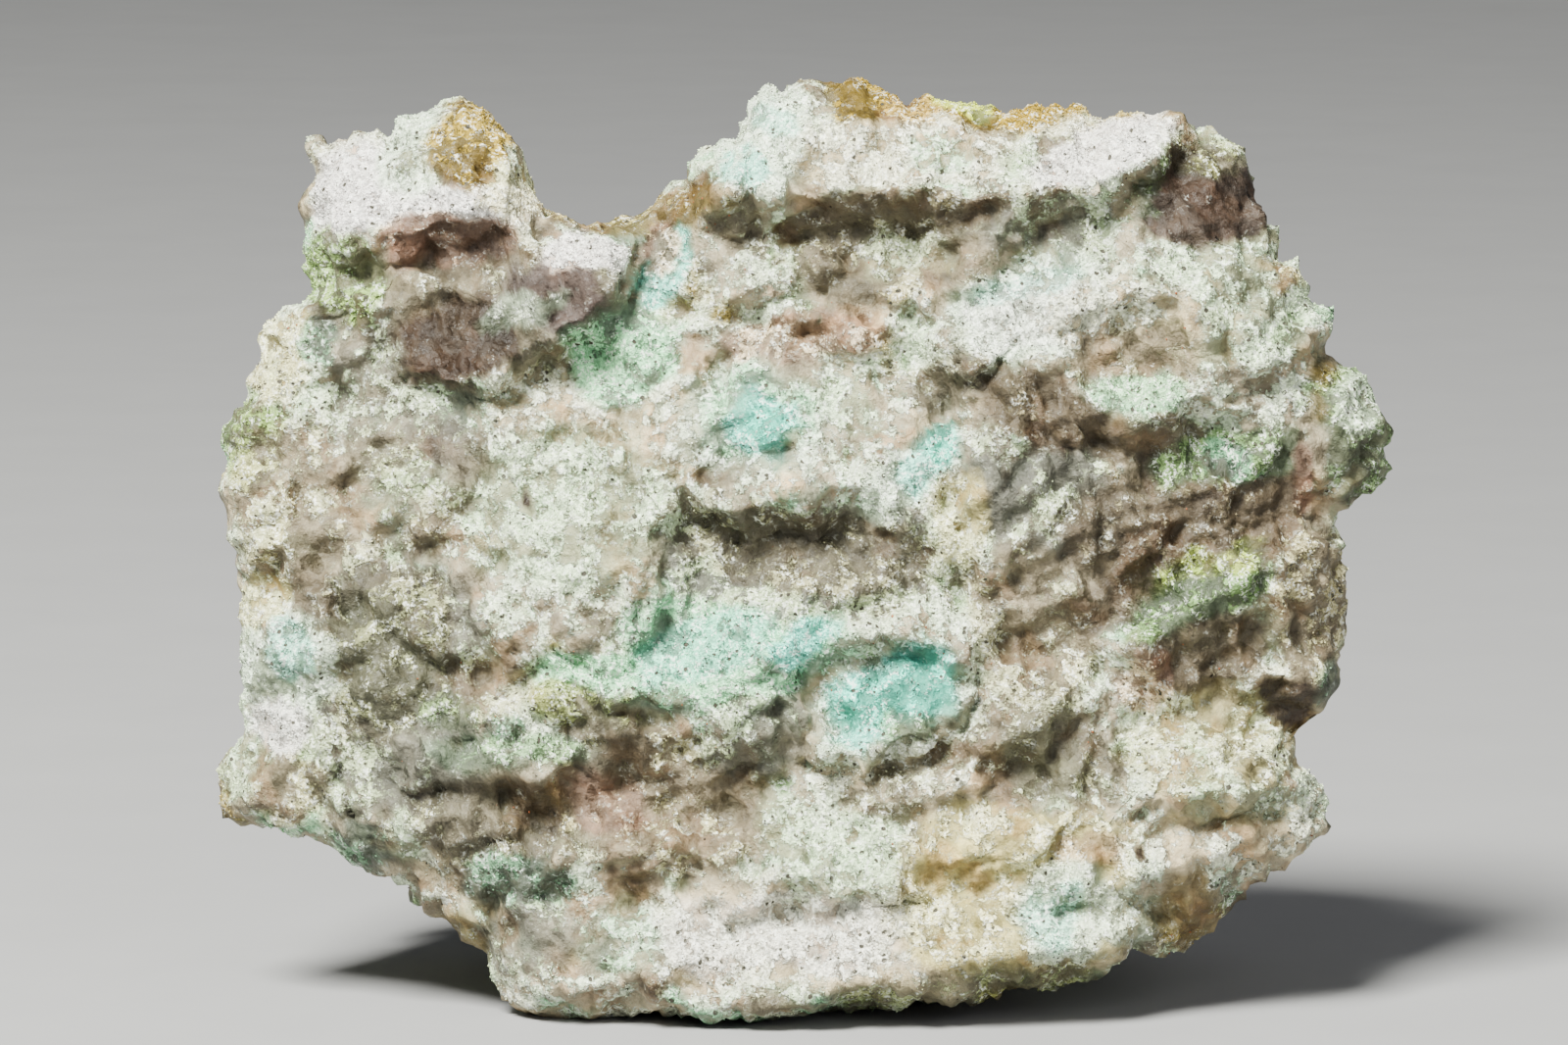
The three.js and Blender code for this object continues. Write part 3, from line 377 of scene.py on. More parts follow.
    Ridge("upper centre", 0.29, 0.36, ((-14, 76, 0.2), (-8, 72, 1.2), (-2, 68, 2), (2, 62, 2.6))),
    Ridge("mint slope", 0.29, 0.29, ((-18, 68, 0), (-13, 66, 1), (-10, 60, 2))),
    Ridge("lower centre rib", 0.43, 0.43, ((8, 22, 3.4), (16, 24, 3.6), (22, 28, 3.4), (27, 33, 3))),
]

# Cracks that show on the face, each along its run.
CRACKS: list[Run] = [
    [(-39.5, 65.4), (-35, 65.7), (-30.5, 65.8), (-28, 66.4), (-26.5, 67.6), (-22, 70)],
    [(-52, 62.8), (-50, 61.2), (-47, 60), (-43.9, 57.8), (-44.6, 55), (-44.4, 52)],
    [(-8.2, 55.8), (-7, 57.2), (-5, 58.3)],
    [(-15.2, 73.5), (-14, 76), (-13, 79)],
    [(14.5, 65), (17, 66.4), (19.5, 67.8), (21.5, 67)],
    [(20, 65.5), (23.5, 61.5), (30, 57.8)],
    [(37.5, 84), (36.4, 80), (36.3, 75.5)],
    [(-22, 31.5), (-21.5, 28), (-20.3, 25.5), (-17, 22.5)],
    [(-46.8, 33), (-45.5, 29), (-44.8, 25), (-44, 21)],
    [(1.5, 26.6), (7, 26.2), (12, 27.6), (17, 30.4), (19.5, 33)],
    [(4.5, 39.3), (11, 38.4), (17, 37.2)],
    [(26.5, 17.5), (29.5, 21)],
    [(-13, 50), (-14.2, 44), (-15.5, 38.5)],
]

LEFT_TO_RIGHT = 0
DOWN = 1
FACE_FLOOR = -7.0
RELIEF_GAIN = 1.45
RELIEF_LEVEL = -1.0
CREST_WANDER = 1.9
CREST_WANDER_SIZE = 6.0
RIM_BEVEL = 4.0
RIM_BEVEL_REACH = 1.5
SIDE_BITE = 6.0
BACK_AT_FOOT = 44.0
BACK_LOSS_PER_HEIGHT = 0.2
BACK_BEVEL = 5.0
BACK_BEVEL_REACH = 5.0
BACK_SHRINK = 0.82
BACK_CENTRE = (1.0, 14.0)
FACE_MIDDLE_V = 45.0
CRACKS_END = (8.0, 12.0)
ACROSS_WEIGHT = 0.4
FADE_POWER = 1.5
UNDERSIDE_RISE = 3.0
UNDERSIDE_WAVE = 0.8
UNDERSIDE_WAVE_SIZE = 9.0
UNDERSIDE_TOP = 20.0

FACE_BLOCKS = Chips(8.0, 1.7, 51)
FACE_SCOOPS = Chips(4.6, -1.0, 61, 0.8, 0.9)
BACK_LUMPS = Chips(26.0, 8.0, 211, 1.1, 0.9)
BACK_SCOOPS = Chips(11.0, -2.6, 231, 0.8, 0.9)
SIDE_BLOCKS = Chips(12.0, 1.0, 401, 1.0, 0.9)
WIDE_FOLDS = Folds(13.0, 0.12, 801)
MID_FOLDS = Folds(6.0, 0.28, 821)
SMALL_FOLDS = Folds(2.8, 0.42, 841, 0.3)
FINE_FOLDS = Folds(1.4, 0.4, 861, 0.4)
GRANULES = Chips(1.2, 0.2, 96)

CRACK_HALF_WIDTH = 0.35
CRACK_DEPTH = 0.6
CRACK_WANDER = 0.9
CRACK_WANDER_SIZE = 3.0
CRACK_GAP_SIZE = 4.0


@dataclass(frozen=True)
class FlatSpot:
    """The small flat on the underside: its middle before it becomes the origin, and its half sizes."""

    x: float = -1.0
    y: float = 21.0
    half_width: float = 22.0
    half_depth: float = 16.0

    def distance(self, p: Array) -> Array:
        """Measure how far out points are, as a share of the spot's own half sizes."""
        return np.hypot(p[:, 0] / self.half_width, p[:, 1] / self.half_depth)


FLAT_SPOT = FlatSpot()


def leant(x: Array, v: Array, depth: Array) -> Array:
    """Turn face-plane points back by the lean and move the flat spot's middle to the origin.

    Args:
        x: place across.
        v: place up the face.
        depth: place behind the face plane.

    Returns:
        Points in millimetres, one per row.
    """
    y = depth * math.cos(LEAN) + v * math.sin(LEAN) - FLAT_SPOT.y
    z = v * math.cos(LEAN) - depth * math.sin(LEAN)
    return np.stack([x - FLAT_SPOT.x, y, z], axis=1)


def upright(p: Array) -> tuple[Array, Array, Array]:
    """Give leant points back as x, v and depth in the face plane."""
    y, z = p[:, 1] + FLAT_SPOT.y, p[:, 2]
    v = z * math.cos(LEAN) + y * math.sin(LEAN)
    depth = y * math.cos(LEAN) - z * math.sin(LEAN)
    return p[:, 0] + FLAT_SPOT.x, v, depth


def from_run(x: Array, v: Array, a: tuple, b: tuple) -> tuple[Array, Array, Array]:
    """Find the nearest place on the straight run from a to b.

    Args:
        x, v: the points.
        a, b: the run's ends; only their first two numbers count.

    Returns:
        Share of the run, distance from it, and side, from -1 on the right to 1 on the left.
    """
    dx, dv = b[0] - a[0], b[1] - a[1]
    length = math.hypot(dx, dv)
    share = np.clip(((x - a[0]) * dx + (v - a[1]) * dv) / length**2, 0.0, 1.0)
    ox, ov = x - a[0] - share * dx, v - a[1] - share * dv
    distance = np.hypot(ox, ov)
    side = (dx * ov - dv * ox) / length / np.maximum(distance, 1e-9)
    return share, distance, side


def outline_distance(x: Array, v: Array) -> Array:
    """Measure how far points are from the stone's outline: the least over its runs."""
    ring = OUTLINE["top"] + OUTLINE["right"][1:] + OUTLINE["bottom"][-2::-1] + OUTLINE["left"][-2::-1]
    best = np.full(len(x), np.inf)
    for a, b in zip(ring, ring[1:]):
        best = np.minimum(best, from_run(x, v, a, b)[1])
    return best


def ridge_height(ridge: Ridge, x: Array, v: Array) -> Array:
    """Raise a roof over the crest: its height less the side's slope times the distance.

    Args:
        ridge: the crest and its slopes.
        x, v: the points.

    Returns:
        Height of that roof at each point.
    """
    best = np.full(len(x), -np.inf)
    for a, b in zip(ridge.crest, ridge.crest[1:]):
        share, distance, side = from_run(x, v, a, b)
        slope = mixed(ridge.right, ridge.left, 0.5 + 0.5 * side)
        best = np.maximum(best, mixed(a[2], b[2], share) - slope * distance)
    return best


def face_depth(x: Array, v: Array) -> Array:
    """Work out how deep the broken face lies behind the face plane.

    The highest of the ridges counts, with crests that stray from their runs, and is stretched in height about
    a level. The outline is bevelled by a falling exponential, and blocks and scoops are chipped out.

    Args:
        x, v: places on the face.

    Returns:
        Depth of each, in millimetres.
    """
    flat = np.stack([x, np.zeros_like(x), v], axis=1)
    stray_x = CREST_WANDER * fractal_noise(flat, CREST_WANDER_SIZE, 11, 3)
    stray_v = CREST_WANDER * fractal_noise(flat, CREST_WANDER_SIZE, 31, 3)
    height = np.full(len(x), FACE_FLOOR)
    for ridge in RIDGES:
        height = np.maximum(height, ridge_height(ridge, x + stray_x, v + stray_v))
    height = RELIEF_LEVEL + RELIEF_GAIN * (height - RELIEF_LEVEL)
    height -= RIM_BEVEL * np.exp(-outline_distance(x, v) / RIM_BEVEL_REACH)
    p = np.stack([x, -height, v], axis=1)
    return -height - FACE_BLOCKS.at(p) - FACE_SCOOPS.at(p)


def crack_share(p: Array) -> Array:
    """Tell how far in a crack of the face points lie: 1 on its line, less across it as a bell curve.

    Args:
        p: x, depth and v of the points, one per row.

    Returns:
        Share of the crack's full depth, for each point.
    """
    x = p[:, 0] + CRACK_WANDER * fractal_noise(p, CRACK_WANDER_SIZE, 901, 3)
    v = p[:, 2] + CRACK_WANDER * fractal_noise(p, CRACK_WANDER_SIZE, 911, 3)
    best = np.full(len(p), np.inf)
    for crack in CRACKS:
        for a, b in zip(crack, crack[1:]):
            best = np.minimum(best, from_run(x, v, a, b)[1])
    gaping = smoothstep(fractal_noise(p, CRACK_GAP_SIZE, 921, 3), -0.35, 0.15)
    on_face = 1.0 - smoothstep(p[:, 1], *CRACKS_END)
    return gaping * on_face * np.exp(-((best / CRACK_HALF_WIDTH) ** 2))


def back_depth(x: Array, v: Array, inside: Array) -> Array:
    """Work out how deep the rough back lies: a sheet that thins upwards, bevelled, in lumps and scoops.

    Args:
        x, v: places on the back.
        inside: distance from the back's own outline.

    Returns:
        Depth of each, in millimetres.
    """
    sheet = BACK_AT_FOOT - BACK_LOSS_PER_HEIGHT * v
    p = np.stack([x, sheet, v], axis=1)
    bevel = BACK_BEVEL * np.exp(-inside / BACK_BEVEL_REACH)
    return sheet - bevel + BACK_LUMPS.at(p) + BACK_SCOOPS.at(p)


def underside_height(p: Array) -> Array:
    """Give the least height of the underside: a shallow wavy cone that dips under the flat spot."""
    flat = np.stack([p[:, 0], p[:, 1], np.zeros(len(p))], axis=1)
    wave = UNDERSIDE_WAVE * fractal_noise(flat, UNDERSIDE_WAVE_SIZE, 301, 2)
    return UNDERSIDE_RISE * (FLAT_SPOT.distance(p) - 1.0) + wave


def evenly(run: Run, count: int, axis: int) -> Array:
    """Place points at equal steps along a run, steps across its main axis counting for less.

    Args:
        run: the run's own points.
        count: how many steps.
        axis: the axis it mainly follows.

    Returns:
        Points, one per row.
    """
    points = np.array(run)
    steps = np.diff(points, axis=0)
    along = np.hypot(steps[:, axis], ACROSS_WEIGHT * steps[:, 1 - axis])
    lengths = np.concatenate([[0.0], np.cumsum(along)])
    at = np.linspace(0.0, lengths[-1], count + 1)
    return np.stack([np.interp(at, lengths, points[:, c]) for c in range(2)], axis=1)


def filled(top: Array, right: Array, bottom: Array, left: Array) -> Array:
    """Fill a four-sided boundary with a grid.

    Each point is the corners' mean, plus what each side departs from its straight chord by, which fades as a
    power of the distance from that side.

    Args:
        top, bottom: sides from left to right.
        right, left: sides from top to bottom.

    Returns:
        Grid of points, by row and column.
    """
    s = np.linspace(0.0, 1.0, len(top))[None, :, None]
    t = np.linspace(0.0, 1.0, len(left))[:, None, None]
    top_chord = mixed(top[0], top[-1], s)
    bottom_chord = mixed(bottom[0], bottom[-1], s)
    left_chord = mixed(left[0], left[-1], t)
    right_chord = mixed(right[0], right[-1], t)
    grid = mixed(top_chord, bottom_chord, t)
    grid = grid + (1.0 - t) ** FADE_POWER * (top[None] - top_chord)
    grid = grid + t**FADE_POWER * (bottom[None] - bottom_chord)
    grid = grid + (1.0 - s) ** FADE_POWER * (left[:, None] - left_chord)
    return grid + s**FADE_POWER * (right[:, None] - right_chord)


def ring_of(grid: Array) -> Array:
    """Take a grid's boundary as one closed run, clockwise from the top left corner."""
    return np.concatenate([grid[0, :-1], grid[:-1, -1], grid[-1, :0:-1], grid[:0:-1, 0]])


def sides_of(ring: Array, columns: int, rows: int) -> tuple[Array, Array, Array, Array]:
    """Cut a closed run into top, right, bottom and left, each from left to right or top to bottom."""
    closed = np.concatenate([ring, ring[:1]])
    corner = columns + rows
    return (
        closed[: columns + 1],
        closed[columns : corner + 1],
        closed[corner : corner + columns + 1][::-1],
        closed[corner + columns :][::-1],
    )


class Shell:
    """Points and faces of one closed surface, gathered ring by ring and patch by patch."""

    def __init__(self) -> None:
        """Start with nothing."""
        self.points: list[Array] = []
        self.quads: list[Array] = []
        self.triangles: list[Array] = []
        self.count = 0

    def add(self, points: Array) -> Array:
        """Add points and give their numbers, in the shape of the rows."""
        flat = points.reshape(-1, 3)
        self.points.append(flat)
        numbers = self.count + np.arange(len(flat))
        self.count += len(flat)
        return numbers.reshape(points.shape[:-1])

    def band(self, front: Array, back: Array) -> None:
        """Join a ring to the next deeper one, square by square."""
        self.quads.append(np.stack([front, np.roll(front, -1), np.roll(back, -1), back], axis=1))

    def halving_band(self, front: Array, back: Array) -> None:
        """Join a ring to the next deeper one that has half its points, three triangles at a time."""
        even, odd, after, back_after = front[::2], front[1::2], np.roll(front[::2], -1), np.roll(back, -1)
        for corners in ((even, odd, back), (odd, back_after, back), (odd, after, back_after)):
            self.triangles.append(np.stack(corners, axis=1))

    def patch(self, grid: Array, faces_back: bool) -> None:
        """Fill a grid of point numbers with squares."""
        corners = [grid[:-1, :-1], grid[1:, :-1], grid[1:, 1:], grid[:-1, 1:]]
        if faces_back:
            corners.reverse()
        self.quads.append(np.stack([c.ravel() for c in corners], axis=1))

    def all_points(self) -> Array:
        """Join the points into one array."""
        return np.concatenate(self.points)

    def all_triangles(self) -> Array:
        """Give every face as triangles."""
        quads = np.concatenate(self.quads)
        return np.concatenate([quads[:, [0, 1, 2]], quads[:, [0, 2, 3]], *self.triangles])


def point_normals(points: Array, triangles: Array) -> Array:
    """Add up the area-weighted normals of the triangles round each point, and bring them to length one."""
    a, b, c = (points[triangles[:, k]] for k in range(3))
    across = np.cross(b - a, c - a)
    total = np.stack(
        [
            np.bincount(triangles.ravel(), np.repeat(across[:, axis], 3), len(points))
            for axis in range(3)
        ],
        axis=1,
    )
    return total / np.maximum(np.linalg.norm(total, axis=1, keepdims=True), 1e-9)


def evened(values: Array, triangles: Array, rounds: int) -> Array:
    """Move each point's value to the mean of its neighbours' over the triangles' sides, again and again.

    Args:
        values: one row per point.
        triangles: which points are joined.
        rounds: how many times.

    Returns:
        The evened values.
    """
    start = triangles[:, [0, 1, 2]].ravel()
    end = triangles[:, [1, 2, 0]].ravel()
    shares = np.bincount(start, minlength=len(values)) + np.bincount(end, minlength=len(values))
    for _ in range(rounds):
        columns = [
            np.bincount(start, values[end, c], len(values)) + np.bincount(end, values[start, c], len(values))
            for c in range(values.shape[1])
        ]
        values = np.stack(columns, axis=1) / shares[:, None]
    return values


# Colours of the face


def linear(colour: tuple[int, int, int]) -> Array:
    """Turn a screen colour of 0 to 255 into linear light of 0 to 1."""
    share = np.array(colour) / 255.0
    return np.where(share <= 0.04045, share / 12.92, ((share + 0.055) / 1.055) ** 2.4)


class Tone(Enum):
    """The colour of the quartz, that of the mica crust on it, and how much of the quartz the crust covers."""

    SPECKLED = ((150, 140, 115), (230, 245, 210), 0.42)
    WHITE = ((210, 200, 190), (255, 250, 245), 0.9)
    CREAM = ((180, 165, 130), (245, 245, 215), 0.55)
    SAND = ((165, 155, 100), (245, 240, 180), 0.6)
    OCHRE = ((85, 70, 25), (175, 145, 35), 0.45)
    ORANGE = ((105, 75, 40), (205, 170, 85), 0.4)
    LIME = ((90, 100, 55), (215, 240, 90), 0.6)
    OLIVE = ((70, 70, 50), (170, 180, 100), 0.45)
    BROWN = ((70, 60, 45), (155, 140, 105), 0.1)
    UMBER = ((50, 40, 30), (105, 85, 65), -0.15)
    SMOKE = ((80, 75, 60), (175, 170, 130), 0.2)
    TAN = ((105, 95, 75), (205, 195, 145), 0.3)
    MAUVE = ((65, 55, 50), (135, 120, 100), -0.15)
    GREY = ((85, 85, 75), (200, 215, 170), 0.35)
    ROSE = ((110, 85, 70), (240, 200, 160), 0.35)
    PALE = ((130, 135, 105), (220, 245, 200), 0.65)
    MINT = ((100, 120, 100), (165, 235, 180), 0.7)
    FROST = ((135, 150, 125), (230, 250, 220), 0.8)
    AQUA = ((75, 150, 130), (130, 250, 230), 0.75)
    TURQUOISE = ((55, 150, 130), (100, 245, 215), 0.7)
    GREEN = ((65, 75, 55), (130, 165, 100), 0.5)
    MOSS = ((50, 60, 40), (105, 125, 70), 0.4)
    TEAL = ((55, 65, 55), (120, 175, 135), 0.45)
    YELLOW_GREEN = ((70, 75, 50), (155, 190, 95), 0.5)


@dataclass(frozen=True)
class Patch:
    """A zone of the face in one tone: its low and high x and v, its strength, and its turn in degrees."""

    tone: Tone
    x: tuple[float, float]
    v: tuple[float, float]
    strength: float = 0.95
    turn: float = 0.0
    squareness: float = 2.5
    fades: tuple[float, float] = (0.6, 1.4)

    def cover(self, x: Array, v: Array) -> Array:
        """Count fully in the middle and fade out round the edge of a rounded zone, turned about its middle.

        Args:
            x, v: places on the face, already strayed by noise.

        Returns:
            Share of the tone at each place.
        """
        turn = math.radians(self.turn)
        dx, dv = x - sum(self.x) / 2.0, v - sum(self.v) / 2.0
        out_x = np.abs(dx * math.cos(turn) + dv * math.sin(turn)) / (self.x[1] - self.x[0]) * 2.0
        out_v = np.abs(dv * math.cos(turn) - dx * math.sin(turn)) / (self.v[1] - self.v[0]) * 2.0
        out = (out_x**self.squareness + out_v**self.squareness) ** (1.0 / self.squareness)
        return 1.0 - smoothstep(out, *self.fades)


PATCHES = [
    # Wide zones
    Patch(Tone.SMOKE, (-40, -16), (64, 79), 0.85),
    Patch(Tone.GREY, (-48, -29), (56, 72), 0.7),
    Patch(Tone.GREY, (-49, -29), (20, 48), 0.9),
    Patch(Tone.SMOKE, (-47, -33), (28, 48), 0.9),
    Patch(Tone.MOSS, (-46, -34), (30, 45), 0.35),
    Patch(Tone.CREAM, (-32, -6), (54, 66), 0.7),
    Patch(Tone.PALE, (-33, -10), (44, 60), 0.8),
    Patch(Tone.TAN, (-46, -31), (47, 61), 0.6),
    Patch(Tone.MINT, (-18, 6), (31, 46)),
    Patch(Tone.GREY, (-12, 18), (41, 53)),
    # Dark smoke under the centre ridge: partly the quartz's own smoke, partly painted shade under the
    # overhang.
    Patch(Tone.SMOKE, (-10, 16), (43.5, 52), 0.95, -8),
    Patch(Tone.TAN, (0, 22), (73, 84), 0.8),
    Patch(Tone.CREAM, (0, 24), (84.5, 92), 0.9),
    Patch(Tone.PALE, (36, 56), (66, 81), 0.8),
    Patch(Tone.GREY, (18, 34), (47, 60)),
    Patch(Tone.TAN, (18, 33), (33, 49), 0.7),
    Patch(Tone.BROWN, (28, 54), (44, 58), 0.85, 12),
    Patch(Tone.TAN, (-24, -2), (15, 31), 0.9),
    Patch(Tone.CREAM, (-18, 20), (3, 14), 0.85),
    Patch(Tone.WHITE, (-15, 12), (5, 13), 0.5),
    Patch(Tone.SAND, (12, 36), (5, 23), 0.9),
    Patch(Tone.SMOKE, (19, 33), (23, 35), 0.8, 20),
    Patch(Tone.SAND, (35, 53), (23, 34), 0.5),
    # Knob
    Patch(Tone.WHITE, (-48.5, -39), (79, 90.5)),
    Patch(Tone.WHITE, (-46, -24), (80, 85)),
    Patch(Tone.FROST, (-41, -33), (84, 93), 0.8),
    Patch(Tone.OCHRE, (-35.5, -27), (85.5, 95), 0.95, -25),
    Patch(Tone.SAND, (-30, -24), (81, 87), 0.7, -40),
    Patch(Tone.OCHRE, (-25, -5), (79.5, 85), 0.8),
    Patch(Tone.ROSE, (-40, -27), (76.5, 81.5), 0.95),
    # Umber under the knob's brow: partly the stone's own brown, partly painted shade under the overhang.
    Patch(Tone.UMBER, (-39, -27), (75.5, 81), 0.5),
    Patch(Tone.YELLOW_GREEN, (-50, -39), (71, 80.5), 0.85, -20),
    Patch(Tone.MAUVE, (-37, -28.5), (65.5, 73), 1.0),
    Patch(Tone.UMBER, (-39, -26.5), (64, 74), 1.0),
    Patch(Tone.MAUVE, (-29, -17), (70.5, 76), 1.0, -12),
    Patch(Tone.FROST, (-32, -22), (70, 73.5), 0.6, 15),
    Patch(Tone.WHITE, (-24.5, -16), (75.5, 79.5), 0.9),
    Patch(Tone.MINT, (-22, -11), (63, 73), 0.9, 35),
    Patch(Tone.AQUA, (-17, -7), (74.5, 78.5), 0.8, 50),
    Patch(Tone.ROSE, (-15, -9.5), (76, 80.5), 0.8, 45),
    # Left edge
    Patch(Tone.SAND, (-55, -49), (63, 72.5), 0.8),
    Patch(Tone.TEAL, (-50.5, -45), (66.5, 71), 0.8),
    Patch(Tone.YELLOW_GREEN, (-58, -51), (54, 63), 0.85),
    Patch(Tone.TAN, (-57, -44), (43.5, 60), 0.7),
    Patch(Tone.SAND, (-56, -50), (39, 46), 0.8),
    Patch(Tone.BROWN, (-49.5, -45), (40, 47), 0.7),
    Patch(Tone.MAUVE, (-35.5, -30.5), (55, 62), 0.6, 60),
    Patch(Tone.FROST, (-54.5, -46), (30, 41), 0.85, -50),
    Patch(Tone.AQUA, (-53, -47), (35, 40), 0.5, -50),
    Patch(Tone.WHITE, (-54.5, -48), (27, 33), 0.8),
    Patch(Tone.TAN, (-57.5, -45), (20, 27), 0.85),
    Patch(Tone.PALE, (-58.5, -54), (22, 30), 0.7),
    Patch(Tone.TEAL, (-46, -40), (15, 20), 0.8),
    # Top
    Patch(Tone.FROST, (-7, 2), (83.5, 95), 0.9),
    Patch(Tone.AQUA, (-6.5, -1), (84, 88), 0.6, 40),
    Patch(Tone.AQUA, (-2.5, 0.5), (88.5, 93.5), 0.4, 70),
    Patch(Tone.OCHRE, (3, 33), (90.5, 97.5), 1.0, -2),
    Patch(Tone.ORANGE, (9.5, 16.5), (90.5, 94), 0.7),
    Patch(Tone.LIME, (14.5, 22), (91.5, 94.5), 0.7),
    Patch(Tone.OCHRE, (33, 42), (91, 93.5), 0.7),
    Patch(Tone.MINT, (12, 18), (86, 89.5), 0.5),
    Patch(Tone.GREEN, (21, 26), (85.5, 89), 0.5),
    Patch(Tone.WHITE, (23, 40), (85.5, 90.5), 0.85, 25),
    Patch(Tone.MAUVE, (36.5, 49), (79.5, 89.5), 1.0),
    Patch(Tone.UMBER, (37, 48.5), (79.5, 88), 0.75),
    Patch(Tone.OLIVE, (39, 48), (86.5, 90.5), 0.5),
    Patch(Tone.GREEN, (32, 42), (83, 86), 0.7, 60),
    Patch(Tone.MOSS, (28, 34), (76, 81), 0.6, 30),
    Patch(Tone.GREY, (20, 34), (77, 83), 0.7),
    Patch(Tone.ORANGE, (50, 53.5), (74, 77.5), 0.7),
    # Upper middle
    # Brown band under the top ledge: partly the stone's own brown, partly painted shade under the ledge.
    Patch(Tone.BROWN, (2, 22), (79.5, 84), 0.8),
    Patch(Tone.SMOKE, (1, 20), (74, 82), 0.7),
    Patch(Tone.PALE, (8, 18), (75.5, 81), 0.45),
    Patch(Tone.ROSE, (-7, 11), (67.5, 73), 0.7, 8),
    Patch(Tone.FROST, (17, 34), (66, 77), 0.95, 15),
    Patch(Tone.WHITE, (18, 32), (67, 75), 0.45, 15),
    Patch(Tone.AQUA, (19, 30), (73, 76), 0.35, 15),
    Patch(Tone.SMOKE, (13, 21), (62, 67.5), 0.8),
    Patch(Tone.FROST, (-12, 4), (55.5, 67), 0.7),
    Patch(Tone.MINT, (-9, 3), (57, 66.5), 0.8),
    Patch(Tone.AQUA, (-6, 2), (57.5, 65), 0.9, -20),
    Patch(Tone.TURQUOISE, (-4, 1), (58.5, 63), 0.9, -20),
    Patch(Tone.FROST, (7, 19.5), (53, 59), 0.9, 35),
    Patch(Tone.AQUA, (10, 19), (54.5, 58.5), 0.7, 40),
    Patch(Tone.TURQUOISE, (13.5, 19), (57, 60.5), 0.8, 60),
    Patch(Tone.SAND, (14, 21), (46, 56), 0.7),
    # Right block
    Patch(Tone.CREAM, (27, 43), (64, 76), 0.8),
    Patch(Tone.TAN, (29, 42), (63, 71), 0.8),
    Patch(Tone.MINT, (31, 41), (62, 66), 0.7, 12),
    Patch(Tone.BROWN, (20, 33), (58.5, 65), 0.95, -20),
    Patch(Tone.BROWN, (30, 45), (56, 61), 0.8, -5),
    Patch(Tone.GREEN, (50, 55), (68.5, 72), 0.6),
    Patch(Tone.GREEN, (36, 53), (53.5, 60), 0.95, 15),
    Patch(Tone.TEAL, (42, 47), (54, 59), 0.9),
    Patch(Tone.ROSE, (51, 54.5), (51.5, 58.5), 0.8),
    Patch(Tone.BROWN, (34, 53), (48, 54), 0.9, 20),
    Patch(Tone.GREEN, (34, 51.5), (39.5, 45.5), 1.0, 25),
    Patch(Tone.LIME, (37, 50), (45, 47.5), 0.6, 27),
    Patch(Tone.BROWN, (37, 50.5), (34, 41), 0.9, 15),
    Patch(Tone.BROWN, (29, 36), (40, 46), 0.8),
    Patch(Tone.ROSE, (34, 40.5), (32, 37.5), 0.7),
    Patch(Tone.TAN, (50, 58), (34, 51), 0.95),
    Patch(Tone.GREEN, (55, 62.5), (51.5, 68.5), 0.9),
    Patch(Tone.FROST, (56, 61.5), (60, 66.5), 0.5),
    Patch(Tone.TEAL, (54, 57.5), (31.5, 36.5), 0.8),
    Patch(Tone.UMBER, (48, 54.5), (31, 35.5)),
    Patch(Tone.CREAM, (38, 54.5), (15, 23.5), 0.8, 10),
    Patch(Tone.PALE, (40, 53), (20, 25), 0.7),
    # Lower middle
    Patch(Tone.AQUA, (-16, 0), (35, 41), 0.45, 15),
    Patch(Tone.AQUA, (-2, 6), (36.5, 40.5), 0.9, 45),
    Patch(Tone.MINT, (-26, -14), (33.5, 38), 0.9),
    Patch(Tone.OLIVE, (-26, -13), (29, 34), 0.85, -15),
    Patch(Tone.ORANGE, (-33, -25), (30, 38), 0.35),
    Patch(Tone.FROST, (2, 19), (26, 38), 0.5, 15),
    Patch(Tone.GREEN, (4, 17), (28, 36), 0.4, 15),
    Patch(Tone.AQUA, (4, 18), (29, 37.5), 0.9, 20),
    Patch(Tone.TURQUOISE, (5, 17), (30, 36), 0.8, 15),
    Patch(Tone.GREEN, (9.5, 15), (28, 31), 0.7),
    Patch(Tone.GREY, (-8, 3), (25, 33), 0.8),
    Patch(Tone.SMOKE, (-22, -12), (24.5, 30.5), 0.8),
    Patch(Tone.GREEN, (-37, -30), (29, 34), 0.7),
    Patch(Tone.TEAL, (-30, -25.5), (28, 31), 0.8),
    Patch(Tone.MINT, (-37, -20), (25, 29), 0.5),
    Patch(Tone.GREEN, (-36, -21), (24.5, 29), 0.6),
    Patch(Tone.ROSE, (-22, -13), (18, 25), 0.7),
    Patch(Tone.SMOKE, (-37, -23.5), (15.5, 24.5), 0.9),
    # Foot
    Patch(Tone.TEAL, (-32.5, -21), (12, 17.5), 0.9),
    Patch(Tone.GREY, (-31, -20), (4, 13), 0.8),
    Patch(Tone.MINT, (-20.5, -12), (4.5, 11.5), 0.5),
    Patch(Tone.PALE, (-1, 13), (12, 21), 0.9),
    Patch(Tone.ROSE, (27, 35), (15, 19.5), 0.6),
    Patch(Tone.FROST, (23, 33), (6, 16), 0.8),
    Patch(Tone.AQUA, (24, 30), (8, 14), 0.45),
    Patch(Tone.FROST, (32, 39), (8, 14), 0.7),
    Patch(Tone.TEAL, (42.5, 47.5), (10.5, 14.5), 0.6),
    Patch(Tone.OCHRE, (37, 44.5), (6.5, 15), 0.7),
    Patch(Tone.OCHRE, (-36, -30), (5, 12), 0.7, 45),
    Patch(Tone.OLIVE, (5, 34.5), (1, 6), 0.7, 3),
    # Small marks
    Patch(Tone.ORANGE, (11.5, 14.5), (15, 18.5), 0.35),
    Patch(Tone.UMBER, (-27, -25.4), (52.9, 54.1), 1.0),
    Patch(Tone.UMBER, (-38.4, -36.6), (47.2, 48.8), 0.6),
    Patch(Tone.UMBER, (35.7, 36.9), (16, 17.6), 1.0),
]

